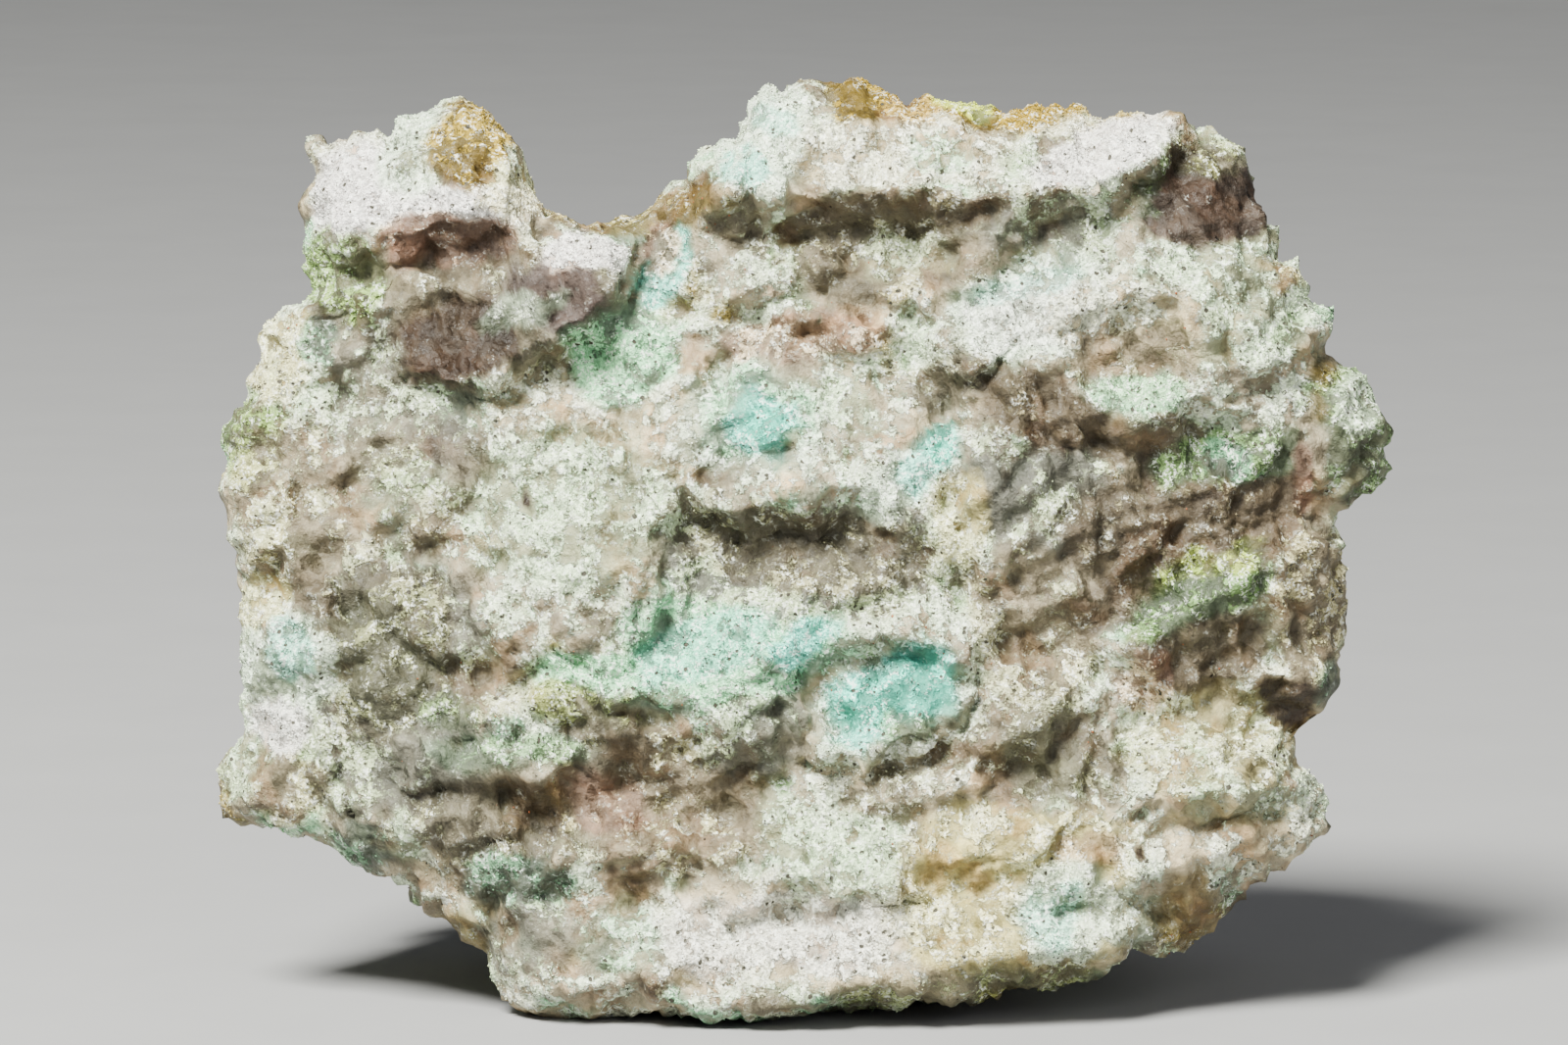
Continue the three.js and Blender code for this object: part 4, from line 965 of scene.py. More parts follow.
# Tones that drift over the stone: each with its noise's seed and size, and the least noise that shows it.
DRIFTS = (
    (Tone.SMOKE, 601, 9.0, 0.0),
    (Tone.PALE, 621, 7.0, 0.08),
    (Tone.MINT, 631, 8.0, 0.25),
    (Tone.GREEN, 641, 6.0, 0.3),
    (Tone.CREAM, 651, 7.0, 0.15),
    (Tone.OCHRE, 661, 11.0, 0.3),
    (Tone.BROWN, 681, 7.0, 0.3),
)


@dataclass
class Paint:
    """What the stone holds at each point: colours of quartz and crust, one per row, and the crust's cover."""

    quartz: Array
    crust: Array
    cover: Array

    def laid(self, over: "Paint | Tone", share: Array) -> "Paint":
        """Lay another paint or tone over this one, by a share at each point."""
        if isinstance(over, Tone):
            quartz, crust, cover = over.value
            over = Paint(linear(quartz), linear(crust), np.array(cover))
        part = share[:, None]
        return Paint(
            mixed(self.quartz, over.quartz, part),
            mixed(self.crust, over.crust, part),
            mixed(self.cover, over.cover, share),
        )


@dataclass
class Painter:
    """Paints the stone point by point: patches of tone on the face, drifting tones elsewhere, and painted
    light and shade from the relief over all.
    """

    points: Array
    normals: Array
    relief: Array
    stray: float = 3.0
    stray_size: float = 8.0
    stray_roughness: float = 0.7
    broken: float = 0.45
    broken_size: float = 3.4
    laid_between: tuple[float, float] = (0.3, 0.8)
    face_ends: tuple[float, float] = (9.0, 17.0)
    drift_strength: float = 0.85
    drift_fade: float = 0.2
    # Painted shade in the hollows: where it starts and ends, and how dark it is painted.
    hollow: tuple[float, float] = (0.1, 1.3)
    painted_hollow_shade: tuple[float, float, float] = (0.26, 0.22, 0.23)
    # Painted highlight on the crests: where it starts and ends, and how light it is painted.
    crest: tuple[float, float] = (0.1, 0.9)
    crest_light: float = 0.35
    # Painted shade in the cracks: how dark they are painted.
    painted_crack_shade: float = 0.5
    torn: float = 5.0
    torn_size: float = 4.0
    # Crust cover moved as painted light and shade: up on slopes that face up and on crests, down on slopes
    # that face down, in hollows and in cracks.
    cover_up: float = 0.2
    cover_crest: float = 0.12
    cover_hollow: float = 0.16
    cover_crack: float = 0.25
    least_cover: float = -0.3

    def paint(self) -> Paint:
        """Lay the patches over drifting tones, and let the sides and the back drift alone.

        Edges of patches are strayed by noise. Then relief and slope paint light and shade into the colours
        and the cover.

        Returns:
            The paint at each point.
        """
        x, v, depth = upright(self.points)
        p = np.stack([x, depth, v], axis=1)
        drifts = self.drifts(p)
        painted = drifts
        x = x + self.stray * fractal_noise(p, self.stray_size, 501, 5, self.stray_roughness)
        v = v + self.stray * fractal_noise(p, self.stray_size, 521, 5, self.stray_roughness)
        broken = self.broken * fractal_noise(p, self.broken_size, 541, 4)
        for patch in PATCHES:
            share = smoothstep(patch.cover(x, v) + broken, *self.laid_between)
            painted = painted.laid(patch.tone, patch.strength * share)
        # Painted light and shade from the relief go over everything, on the face and off it.
        return self.relief_light_and_shade(painted.laid(drifts, smoothstep(depth, *self.face_ends)), p)

    def drifts(self, p: Array) -> Paint:
        """Lay the drifting tones over the speckled one, each where its noise is high."""
        quartz, crust, cover = Tone.SPECKLED.value
        quartz, crust = (np.tile(linear(colour), (len(p), 1)) for colour in (quartz, crust))
        paint = Paint(quartz, crust, np.full(len(p), cover))
        for tone, seed, size, least in DRIFTS:
            share = smoothstep(fractal_noise(p, size, seed, 4), least, least + self.drift_fade)
            paint = paint.laid(tone, self.drift_strength * share)
        return paint

    def relief_light_and_shade(self, paint: Paint, p: Array) -> Paint:
        """Paint light and shade from the relief. Painted light: more crust on crests and on slopes that face
        up, and lighter quartz on crests. Painted shade: less crust on slopes that face down, in the hollows
        and in the cracks, and the hollows and the cracks darkened.

        Args:
            paint: the paint before its painted light and shade.
            p: x, depth and v of the points, one per row.

        Returns:
            The paint with its painted light and shade.
        """
        # Painted shade: hollows are darkened and lose crust.
        hollow = smoothstep(-self.relief, *self.hollow)
        # Painted highlight: crests are lightened and gain crust.
        crest = smoothstep(self.relief, *self.crest)
        # Painted shade: the cracks are darkened and lose crust.
        crack = crack_share(p)
        mixed_cover = np.maximum(self.torn * paint.cover * (1.0 - paint.cover), 0.0)
        torn = mixed_cover * fractal_noise(p, self.torn_size, 701, 4)
        # Painted light and shade: slopes that face up gain white crust, slopes that face down lose it.
        slope = self.cover_up * (smoothstep(self.normals[:, 2], -0.5, 0.8) - 0.5)
        # Crust cover moved by relief: painted light on crests, painted shade in hollows and cracks.
        relief_cover = self.cover_crest * crest - self.cover_hollow * hollow - self.cover_crack * crack
        cover = np.clip(paint.cover + torn + slope + relief_cover, self.least_cover, 1.0)
        # Painted shade in the hollows, on quartz and crust alike.
        dark = 1.0 - np.array(self.painted_hollow_shade) * hollow[:, None]
        # Painted shade in the cracks, on quartz and crust alike.
        dark = dark * (1.0 - self.painted_crack_shade * crack)[:, None]
        # Painted highlight on the crests, on the quartz only.
        light = 1.0 + self.crest_light * crest[:, None]
        return Paint(paint.quartz * dark * light, paint.crust * dark, cover)


# Finishes

Socket = bpy.types.NodeSocket
Colour = tuple[float, float, float, float]


@dataclass(frozen=True)
class Ramp:
    """A straight run from one value at low to another at high, held level outside."""

    low: float
    high: float
    at_low: float
    at_high: float


class NodeSheet:
    """A material and its nodes, which are made and joined by short calls."""

    def __init__(self, name: str) -> None:
        """Start a material of that name with only its surface shader."""
        self.material = bpy.data.materials.new(name)
        self.material.use_nodes = True
        self.tree = self.material.node_tree
        self.shader = next(n for n in self.tree.nodes if n.type == "BSDF_PRINCIPLED")

    def add(self, kind: str, **settings: object) -> bpy.types.Node:
        """Add a node of that kind with its own settings."""
        node = self.tree.nodes.new(f"ShaderNode{kind}")
        for name, value in settings.items():
            setattr(node, name, value)
        return node

    def feed(self, socket: Socket, value: object) -> None:
        """Give an input a constant, or join it to an output."""
        if isinstance(value, Socket):
            self.tree.links.new(value, socket)
        else:
            socket.default_value = value

    def combined(self, operation: str, first: object, *others: object) -> Socket:
        """Combine numbers from left to right by Math nodes of one operation."""
        for other in others:
            node = self.add("Math", operation=operation)
            self.feed(node.inputs[0], first)
            self.feed(node.inputs[1], other)
            first = node.outputs[0]
        return first

    def vector(self, operation: str, *values: object) -> Socket:
        """Combine vectors by a VectorMath node, and give its vector."""
        node = self.add("VectorMath", operation=operation)
        for socket, value in zip(node.inputs, values):
            self.feed(socket, value)
        return node.outputs["Vector"]

    def scaled(self, value: object, scale: object) -> Socket:
        """Multiply a vector or a colour by a number."""
        node = self.add("VectorMath", operation="SCALE")
        self.feed(node.inputs[0], value)
        self.feed(node.inputs["Scale"], scale)
        return node.outputs["Vector"]

    def ranged(self, value: object, ramp: Ramp) -> Socket:
        """Send a value through a ramp."""
        node = self.add("MapRange")
        for socket, given in zip(node.inputs, (value, ramp.low, ramp.high, ramp.at_low, ramp.at_high)):
            self.feed(socket, given)
        return node.outputs[0]

    def blended(self, share: object, a: object, b: object, blend: str = "MIX") -> Socket:
        """Mix two colours by a share."""
        node = self.add("Mix", data_type="RGBA", blend_type=blend)
        for name, value in (("Factor_Float", share), ("A_Color", a), ("B_Color", b)):
            self.feed(next(s for s in node.inputs if s.identifier == name), value)
        return next(s for s in node.outputs if s.identifier == "Result_Color")

    def places(self) -> Socket:
        """Give the place on the object, in millimetres."""
        return self.scaled(self.add("TexCoord").outputs["Object"], 1.0 / MM)

    def noise(self, place: object, per_mm: float, detail: float, rough: float, output: str = "Fac") -> Socket:
        """Give fractal noise about one half, or with the output Color three of them."""
        node = self.add("TexNoise")
        self.feed(node.inputs["Vector"], place)
        self.feed(node.inputs["Scale"], per_mm)
        self.feed(node.inputs["Detail"], detail)
        self.feed(node.inputs["Roughness"], rough)
        return node.outputs[output]

    def strayed(self, place: object, per_mm: float, far: float) -> Socket:
        """Stray a place by noise, up to about half as far as given."""
        away = self.vector("SUBTRACT", self.noise(place, per_mm, 3.0, 0.6, "Color"), (0.5, 0.5, 0.5))
        return self.vector("MULTIPLY_ADD", away, (far, far, far), place)

    def grains(self, place: object, per_mm: float) -> tuple[bpy.types.Node, Socket]:
        """Split space into grains: gives their node, and a number that differs from grain to grain."""
        node = self.add("TexVoronoi")
        self.feed(node.inputs["Vector"], place)
        self.feed(node.inputs["Scale"], per_mm)
        parted = self.add("SeparateColor")
        self.feed(parted.inputs[0], node.outputs["Color"])
        return node, parted.outputs[0]

    def facets(self, place: object, per_mm: float) -> tuple[Socket, Socket]:
        """Give the height of a plane tilted at random in each grain, and a number that differs by grain."""
        node, number = self.grains(place, per_mm)
        height = self.add("VectorMath", operation="DOT_PRODUCT")
        self.feed(height.inputs[0], self.vector("SUBTRACT", place, node.outputs["Position"]))
        self.feed(height.inputs[1], self.vector("SUBTRACT", node.outputs["Color"], (0.5, 0.5, 0.5)))
        return height.outputs["Value"], number

    def attribute(self, name: str, output: str) -> Socket:
        """Read a value that the mesh holds at its points."""
        return self.add("Attribute", attribute_name=name).outputs[output]

    def set(self, **inputs: object) -> bpy.types.Material:
        """Set the shader's own inputs, spaces written as underscores, and give the material."""
        for name, value in inputs.items():
            self.feed(self.shader.inputs[name.replace("_", " ")], value)
        return self.material


class RockPattern:
    """Noises and grains that quartz and crust share, and the line where the crust ends."""

    bend_per_mm = 1.1
    bend = 0.5
    veil_per_mm = 0.33
    veil_bend_per_mm = 0.3
    veil_bend = 1.5
    drift_per_mm = 0.16
    torn_per_mm = 0.55
    clouds_per_mm = 1.0
    block_per_mm = 0.55
    grain_per_mm = 1.7
    small_per_mm = 4.2
    pit_per_mm = 1.35
    torn_edge = Ramp(0.35, 0.65, -0.42, 0.42)
    grain_edge = Ramp(0.0, 1.0, -0.1, 0.1)
    small_edge = Ramp(0.0, 1.0, -0.07, 0.07)
    full_crust = Ramp(-0.04, 0.05, 0.0, 1.0)
    thin_dust = Ramp(-0.3, 0.0, 0.0, 0.6)
    dust_grain = Ramp(0.2, 0.8, 0.2, 1.0)
    pit_size = Ramp(0.3, 1.0, 0.0, 0.46)
    pit_narrowing = 0.2
    pit_rim = Ramp(-0.04, 0.05, 0.0, 1.0)
    pit_in_crust = Ramp(-0.1, 0.1, 0.0, 1.0)

    def __init__(self, s: NodeSheet) -> None:
        """Lay out the noises, the grains, the crust and its pits.

        Args:
            s: the sheet that takes the nodes.
        """
        place = s.places()
        bent = s.strayed(place, self.bend_per_mm, self.bend)
        self.drift = s.noise(place, self.drift_per_mm, 3.0, 0.55)
        veil_place = s.strayed(place, self.veil_bend_per_mm, self.veil_bend)
        self.veil = s.noise(veil_place, self.veil_per_mm, 4.0, 0.6)
        self.torn = s.noise(bent, self.torn_per_mm, 5.0, 0.62)
        self.clouds = s.noise(bent, self.clouds_per_mm, 5.0, 0.62)
        self.block_slope, self.block = s.facets(bent, self.block_per_mm)
        self.grain_slope, self.grain = s.facets(bent, self.grain_per_mm)
        self.small_slope, self.small = s.facets(bent, self.small_per_mm)
        self.edge = s.combined(
            "ADD",
            s.ranged(self.torn, self.torn_edge),
            s.ranged(self.grain, self.grain_edge),
            s.ranged(self.small, self.small_edge),
            s.combined("SUBTRACT", s.attribute("cover", "Fac"), 0.5),
        )
        dusty = s.ranged(self.small, self.dust_grain)
        dust = s.combined("MULTIPLY", s.ranged(self.edge, self.thin_dust), dusty)
        self.crust = s.combined("MAXIMUM", s.ranged(self.edge, self.full_crust), dust)
        self.pit = self.pits(s, bent)

    def pits(self, s: NodeSheet, bent: Socket) -> Socket:
        """Give 1 in the pits of the crust: round a grain's middle, by its own size less the torn noise."""
        grains, number = s.grains(bent, self.pit_per_mm)
        size = s.ranged(number, self.pit_size)
        narrowing = s.combined("MULTIPLY", self.torn, self.pit_narrowing)
        inside = s.combined("SUBTRACT", size, narrowing, grains.outputs["Distance"])
        return s.combined("MULTIPLY", s.ranged(inside, self.pit_rim), s.ranged(self.edge, self.pit_in_crust))


@dataclass(frozen=True)
class RockFinish:
    """Sugary mica crust over smoky quartz, from the colours and the cover that the mesh holds.

    Shades multiply a colour, and reliefs multiply a height in millimetres.
    """

    name: str = "donbassite_in_quartz"
    specular: float = 0.3
    smoky: Colour = (0.6, 0.58, 0.58, 1.0)
    smoky_veil: Ramp = Ramp(0.5, 0.66, 0.0, 0.9)
    rosy: Colour = (1.0, 0.82, 0.7, 1.0)
    rosy_drift: Ramp = Ramp(0.52, 0.62, 0.0, 0.9)
    quartz_cloud_shade: Ramp = Ramp(0.3, 0.7, 0.76, 1.26)
    quartz_block_shade: Ramp = Ramp(0.0, 1.0, 0.8, 1.2)
    quartz_veil_shade: Ramp = Ramp(0.3, 0.45, 1.5, 1.0)
    quartz_grain_shade: Ramp = Ramp(0.0, 1.0, 0.94, 1.06)
    powder: Colour = (0.9, 0.93, 0.86, 1.0)
    powder_grain: Ramp = Ramp(0.5, 0.6, 0.0, 0.7)
    powder_cloud: Ramp = Ramp(0.47, 0.55, 0.0, 1.0)
    mica_small_shade: Ramp = Ramp(0.0, 0.6, 0.6, 1.06)
    mica_grain_shade: Ramp = Ramp(0.0, 1.0, 0.66, 1.14)
    mica_cloud_shade: Ramp = Ramp(0.3, 0.6, 0.72, 1.06)
    mica_edge_shade: Ramp = Ramp(0.0, 0.3, 0.74, 1.06)
    # Near-black of the crust's pits: partly their own dark, partly painted shade in the pits.
    pit_dark_and_shade: Colour = (0.07, 0.065, 0.048, 1.0)
    block_relief: Ramp = Ramp(0.0, 1.0, 0.75, 0.4)
    grain_relief: Ramp = Ramp(0.0, 1.0, 0.35, 0.9)
    small_relief: Ramp = Ramp(0.0, 1.0, 0.25, 1.1)
    cloud_relief: Ramp = Ramp(0.0, 1.0, 0.35, 0.7)
    edge_height: Ramp = Ramp(-0.05, 0.1, 0.0, 0.16)
    pit_depth: float = 0.25
    quartz_roughness: Ramp = Ramp(0.0, 1.0, 0.38, 0.7)
    crust_roughness: Ramp = Ramp(0.8, 0.9, 0.9, 0.4)

    def material(self) -> bpy.types.Material:
        """Make the material: cloudy quartz in facets, and on it pitted crust that ends grain by grain."""
        s = NodeSheet(self.name)
        p = RockPattern(s)
        # Pits take the near-black colour, partly as painted shade inside them.
        colour = s.blended(p.pit, s.blended(p.crust, self.quartz(s, p), self.mica(s, p)), self.pit_dark_and_shade)
        bump = s.add("Bump")
        s.feed(bump.inputs["Strength"], 1.0)
        s.feed(bump.inputs["Distance"], MM)
        s.feed(bump.inputs["Height"], self.height(s, p))
        return s.set(
            Base_Color=colour,
            Roughness=self.roughness(s, p),
            Specular_IOR_Level=self.specular,
            Normal=bump.outputs[0],
        )

    def quartz(self, s: NodeSheet, p: RockPattern) -> Socket:
        """Tint the mesh's quartz with smoke and rose, and shade it by clouds, blocks and grains."""
        tinted = s.attribute("quartz", "Color")
        tinted = s.blended(s.ranged(p.veil, self.smoky_veil), tinted, self.smoky, "MULTIPLY")
        tinted = s.blended(s.ranged(p.drift, self.rosy_drift), tinted, self.rosy, "MULTIPLY")
        shade = s.combined(
            "MULTIPLY",
            s.ranged(p.clouds, self.quartz_cloud_shade),
            s.ranged(p.block, self.quartz_block_shade),
            s.ranged(p.veil, self.quartz_veil_shade),
            s.ranged(p.grain, self.quartz_grain_shade),
        )
        return s.scaled(tinted, shade)

    def mica(self, s: NodeSheet, p: RockPattern) -> Socket:
        """Powder the mesh's crust with white, and shade it by grains, clouds and its own edge."""
        cloudy = s.ranged(p.clouds, self.powder_cloud)
        powdery = s.combined("MULTIPLY", s.ranged(p.small, self.powder_grain), cloudy)
        shade = s.combined(
            "MULTIPLY",
            s.ranged(p.small, self.mica_small_shade),
            s.ranged(p.grain, self.mica_grain_shade),
            s.ranged(p.clouds, self.mica_cloud_shade),
            s.ranged(p.edge, self.mica_edge_shade),
        )
        return s.scaled(s.blended(powdery, s.attribute("mica", "Color"), self.powder), shade)

    def height(self, s: NodeSheet, p: RockPattern) -> Socket:
        """Add up blocks, grains and clouds, each stronger on one mineral, and the crust's edge and pits."""
        reliefs = (
            (p.block_slope, self.block_relief),
            (p.grain_slope, self.grain_relief),
            (p.small_slope, self.small_relief),
            (p.clouds, self.cloud_relief),
        )
        raised = [s.combined("MULTIPLY", slope, s.ranged(p.crust, relief)) for slope, relief in reliefs]
        *grains, clouds = raised
        total = s.combined("ADD", *grains, s.ranged(p.edge, self.edge_height), clouds)
        return s.combined("SUBTRACT", total, s.combined("MULTIPLY", p.pit, self.pit_depth))

    def roughness(self, s: NodeSheet, p: RockPattern) -> Socket:
        """Let the quartz shine grain by grain, and a few small grains of the crust glint."""
        crust = s.combined("MULTIPLY", s.ranged(p.small, self.crust_roughness), p.crust)
        bare = s.combined("SUBTRACT", 1.0, p.crust)
        quartz = s.combined("MULTIPLY", s.ranged(p.grain, self.quartz_roughness), bare)
        return s.combined("ADD", crust, quartz)


@dataclass(frozen=True)
class GrainFinish:
    """Small crystals that take their colour from the mesh."""

    name: str
    mottle_per_mm: float = 5.0
    shade: Ramp = Ramp(0.3, 0.7, 0.85, 1.12)
    roughness: Ramp = Ramp(0.3, 0.7, 0.4, 0.7)

    def material(self) -> bpy.types.Material:
        """Make the material: the grain's own tint, mottled."""
        s = NodeSheet(self.name)
        fine = s.noise(s.places(), self.mottle_per_mm, 3.0, 0.6)
        tinted = s.scaled(s.attribute("tint", "Color"), s.ranged(fine, self.shade))
        return s.set(Base_Color=tinted, Roughness=s.ranged(fine, self.roughness))


@dataclass(frozen=True)
class FloorFinish:
    """Pale grey with a faint mottle."""

    name: str = "floor"
    dark: Colour = (0.2511, 0.2511, 0.25575, 1.0)
    light: Colour = (0.2808, 0.2808, 0.286, 1.0)
    roughness: float = 0.9
    mottle_per_mm: float = 0.05

    def material(self) -> bpy.types.Material:
        """Make the material: from dark to light grey by noise."""
        s = NodeSheet(self.name)
        fine = s.noise(s.places(), self.mottle_per_mm, 3.0, 0.6)
        return s.set(Base_Color=s.blended(fine, self.dark, self.light), Roughness=self.roughness)


# Pieces


def new_piece(name: str, points: Array, faces: list[Array], material: bpy.types.Material) -> bpy.types.Object:
    """Make a mesh object at the origin from points in millimetres.

    Args:
        name: the piece's name.
        points: one per row, in millimetres.
        faces: arrays of point numbers, each with as many columns as its faces have corners.
        material: the one finish.

    Returns:
        The object, linked to the scene.
    """
    mesh = bpy.data.meshes.new(name)
    corners = np.concatenate([f.ravel() for f in faces]).astype(np.int32)
    sizes = np.concatenate([np.full(len(f), f.shape[1]) for f in faces]).astype(np.int32)
    starts = np.concatenate([[0], np.cumsum(sizes)[:-1]]).astype(np.int32)
    mesh.vertices.add(len(points))
    mesh.vertices.foreach_set("co", (points * MM).astype(np.float32).ravel())
    mesh.loops.add(len(corners))
    mesh.loops.foreach_set("vertex_index", corners)
    mesh.polygons.add(len(sizes))
    mesh.polygons.foreach_set("loop_start", starts)
    mesh.update(calc_edges=True)
    mesh.validate()
    mesh.materials.append(material)
    piece = bpy.data.objects.new(name, mesh)
    bpy.context.scene.collection.objects.link(piece)
    return piece


def hold_colour(piece: bpy.types.Object, name: str, colours: Array) -> None:
    """Store a colour for each point of a piece under that name."""
    values = np.concatenate([np.clip(colours, 0.0, 1.0), np.ones((len(colours), 1))], axis=1)
    attribute = piece.data.attributes.new(name, "FLOAT_COLOR", "POINT")
    attribute.data.foreach_set("color", values.astype(np.float32).ravel())


@dataclass
class Stone:
    """The whole stone as one closed surface: face, broken sides and back."""

    columns: int = 250
    rows: int = 204
    bands_full: int = 20
    bands_half: int = 20
    evening: int = 13
    evened_by: float = 0.4
    draw_power: float = 1.6
    spot_fade: float = 1.4
    relief_rounds: int = 14
    normal_rounds: int = 6
    side_mid_folds: float = 0.5
    untouched: float = 1.0

    def build(self) -> bpy.types.Object:
        """Shape, paint and dress the stone, and let it stand for the CAD's solid."""
        shell = self.surface()
        triangles = shell.all_triangles()
        points = self.chipped_finely(shell.all_points(), triangles)
        self.triangles = triangles
        self.points = points
        self.normals = point_normals(points, triangles)
        # Relief and normals set the painted light and shade: shade in hollows, highlights on crests, more
        # crust on slopes that face up.
        relief = ((points - evened(points, triangles, self.relief_rounds)) * self.normals).sum(axis=1)
        self.paint = Painter(points, self.normals, relief).paint()
        faces = [np.concatenate(shell.quads), np.concatenate(shell.triangles)]
        piece = new_piece(f"{NODE}_surface", points, faces, RockFinish().material())
        hold_colour(piece, "quartz", self.paint.quartz)
        hold_colour(piece, "mica", self.paint.crust)
        attribute = piece.data.attributes.new("cover", "FLOAT", "POINT")
        attribute.data.foreach_set("value", self.paint.cover.astype(np.float32))
        piece.data.shade_smooth()
        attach(piece, BODY)
        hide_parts(NODE)
        return piece

    def surface(self) -> Shell:
        """Gather the face's grid, the rings of the sides and the back's grid into one closed shell."""
        shell = Shell()
        outline = [
            evenly(OUTLINE["top"], self.columns, LEFT_TO_RIGHT),
            evenly(OUTLINE["right"], self.rows, DOWN),
            evenly(OUTLINE["bottom"], self.columns, LEFT_TO_RIGHT),
            evenly(OUTLINE["left"], self.rows, DOWN),
        ]
        grid = filled(*outline)
        x, v = grid[..., 0].ravel(), grid[..., 1].ravel()
        depth = face_depth(x, v)
        face = shell.add(leant(x, v, depth).reshape(*grid.shape[:2], 3))
        shell.patch(face, faces_back=False)
        front = ring_of(np.concatenate([grid, depth.reshape(*grid.shape[:2], 1)], axis=2))
        even = self.evened_ring(front[:, :2])
        back = self.back_ring(even)
        ring = self.add_sides(shell, ring_of(face), front, even, back)
        self.add_back(shell, ring, back[::2])
        return shell

    def evened_ring(self, ring: Array) -> Array:
        """Move each outline point to the mean of its neighbours on both sides."""
        shifts = range(-self.evening, self.evening + 1)
        return sum(np.roll(ring, n, axis=0) for n in shifts) / len(shifts)

    def back_ring(self, even: Array) -> Array:
        """Draw the even outline in, and lift it where the underside is higher.

        Args:
            even: the outline with its points evened out.

        Returns:
            x, v and depth of the back's outline.
        """
        x, v = mixed(np.array(BACK_CENTRE), even, BACK_SHRINK).T
        depth = back_depth(x, v, np.zeros(len(x)))
        place = leant(x, v, depth)
        lift = np.maximum(underside_height(place) - place[:, 2], 0.0) / math.cos(LEAN)
        return np.stack([x, v + lift, depth], axis=1)

    def side_ring(self, front: Array, even: Array, back: Array, share: float) -> Array:
        """Work out one ring of the broken side at a share of the way from the face to the back.

        The outline evens out, draws in as a power of the share, and is bitten most half way.

        Args:
            front, even, back: the rings that it goes between.
            share: 0 at the face, 1 at the back.

        Returns:
            Points in millimetres.
        """
        drawn = share**self.draw_power
        flat = mixed(front[:, :2], even, float(smoothstep(np.array(share), 0.0, self.evened_by)))
        x, v = mixed(flat, back[:, :2], drawn).T
        depth = mixed(front[:, 2], back[:, 2], share)
        bitten = np.maximum(1.0 - SIDE_BLOCKS.at(np.stack([x, depth, v], axis=1)), 0.0)
        bite = SIDE_BITE * math.sin(math.pi * share) * bitten
        inward = np.stack([BACK_CENTRE[0] - x, FACE_MIDDLE_V - v])
        inward = bite * inward / np.linalg.norm(inward, axis=0)
        return self.on_underside(leant(x + inward[0], v + inward[1], depth))

    def on_underside(self, points: Array) -> Array:
        """Keep the underside on its cone near the flat spot, and over it elsewhere."""
        lowest = underside_height(points)
        z = points[:, 2]
        beside = smoothstep(FLAT_SPOT.distance(points), 1.0, self.spot_fade)
        free = np.where(z < UNDERSIDE_TOP, beside, 1.0)
        points[:, 2] = mixed(lowest, np.maximum(z, lowest), free)
        return points

    def add_sides(self, shell: Shell, ring: Array, front: Array, even: Array, back: Array) -> Array:
        """Add the rings from the face to the back and give the last one's point numbers."""
        bands = self.bands_full + 1 + self.bands_half
        for band in range(1, bands + 1):
            points = self.side_ring(front, even, back, band / bands)
            if band <= self.bands_full:
                following = shell.add(points)
                shell.band(ring, following)
            else:
                following = shell.add(points[::2])
                join = shell.halving_band if band == self.bands_full + 1 else shell.band
                join(ring, following)
            ring = following
        return ring

    def add_back(self, shell: Shell, ring: Array, back: Array) -> None:
        """Fill the back's outline with a grid of half the face's columns and rows."""
        columns, rows = self.columns // 2, self.rows // 2
        grid = filled(*sides_of(back[:, :2], columns, rows))
        i, j = np.meshgrid(np.arange(columns + 1), np.arange(rows + 1))
        steps = np.minimum(np.minimum(i, columns - i), np.minimum(j, rows - j))
        spacing = (OUTLINE["right"][0][0] - OUTLINE["left"][0][0]) * BACK_SHRINK / columns
        x, v = grid[1:-1, 1:-1].reshape(-1, 2).T
        inner = leant(x, v, back_depth(x, v, spacing * steps[1:-1, 1:-1].ravel()))
        numbers = np.zeros((rows + 1, columns + 1), dtype=np.int64)
        numbers[1:-1, 1:-1] = shell.add(inner).reshape(rows - 1, columns - 1)
        edges = (numbers[0], numbers[:, -1], numbers[-1], numbers[:, 0])
        for edge, side in zip(edges, sides_of(ring, columns, rows)):
            edge[:] = side
        shell.patch(numbers, faces_back=True)

    def chipped_finely(self, points: Array, triangles: Array) -> Array:
        """Chip the surface finely along its normals, and keep the flat spot flat.

        Args:
            points: the coarse surface.
            triangles: its faces.

        Returns:
            The finer surface, none of it under the floor.
        """
        normals = point_normals(evened(points, triangles, self.normal_rounds), triangles)
        facing = np.abs(normals[:, 1])
        fine = facing * WIDE_FOLDS.at(points)
        fine += mixed(self.side_mid_folds, 1.0, facing) * MID_FOLDS.at(points)
        fine += SMALL_FOLDS.at(points) + FINE_FOLDS.at(points) + GRANULES.at(points)
        x, v, depth = upright(points)
        fine -= CRACK_DEPTH * crack_share(np.stack([x, depth, v], axis=1))
        away = smoothstep(points[:, 2], 0.0, self.untouched)
        points = points + normals * (fine * away)[:, None]
        points[:, 2] = np.maximum(points[:, 2], 0.0)
        return points


OCTAHEDRON_CORNERS = np.array(
    [(1, 0, 0), (0, 1, 0), (-1, 0, 0), (0, -1, 0), (0, 0, 1), (0, 0, -1)], dtype=float
)
OCTAHEDRON_FACES = np.array(
    [(0, 1, 4), (1, 2, 4), (2, 3, 4), (3, 0, 4), (1, 0, 5), (2, 1, 5), (3, 2, 5), (0, 3, 5)]
)


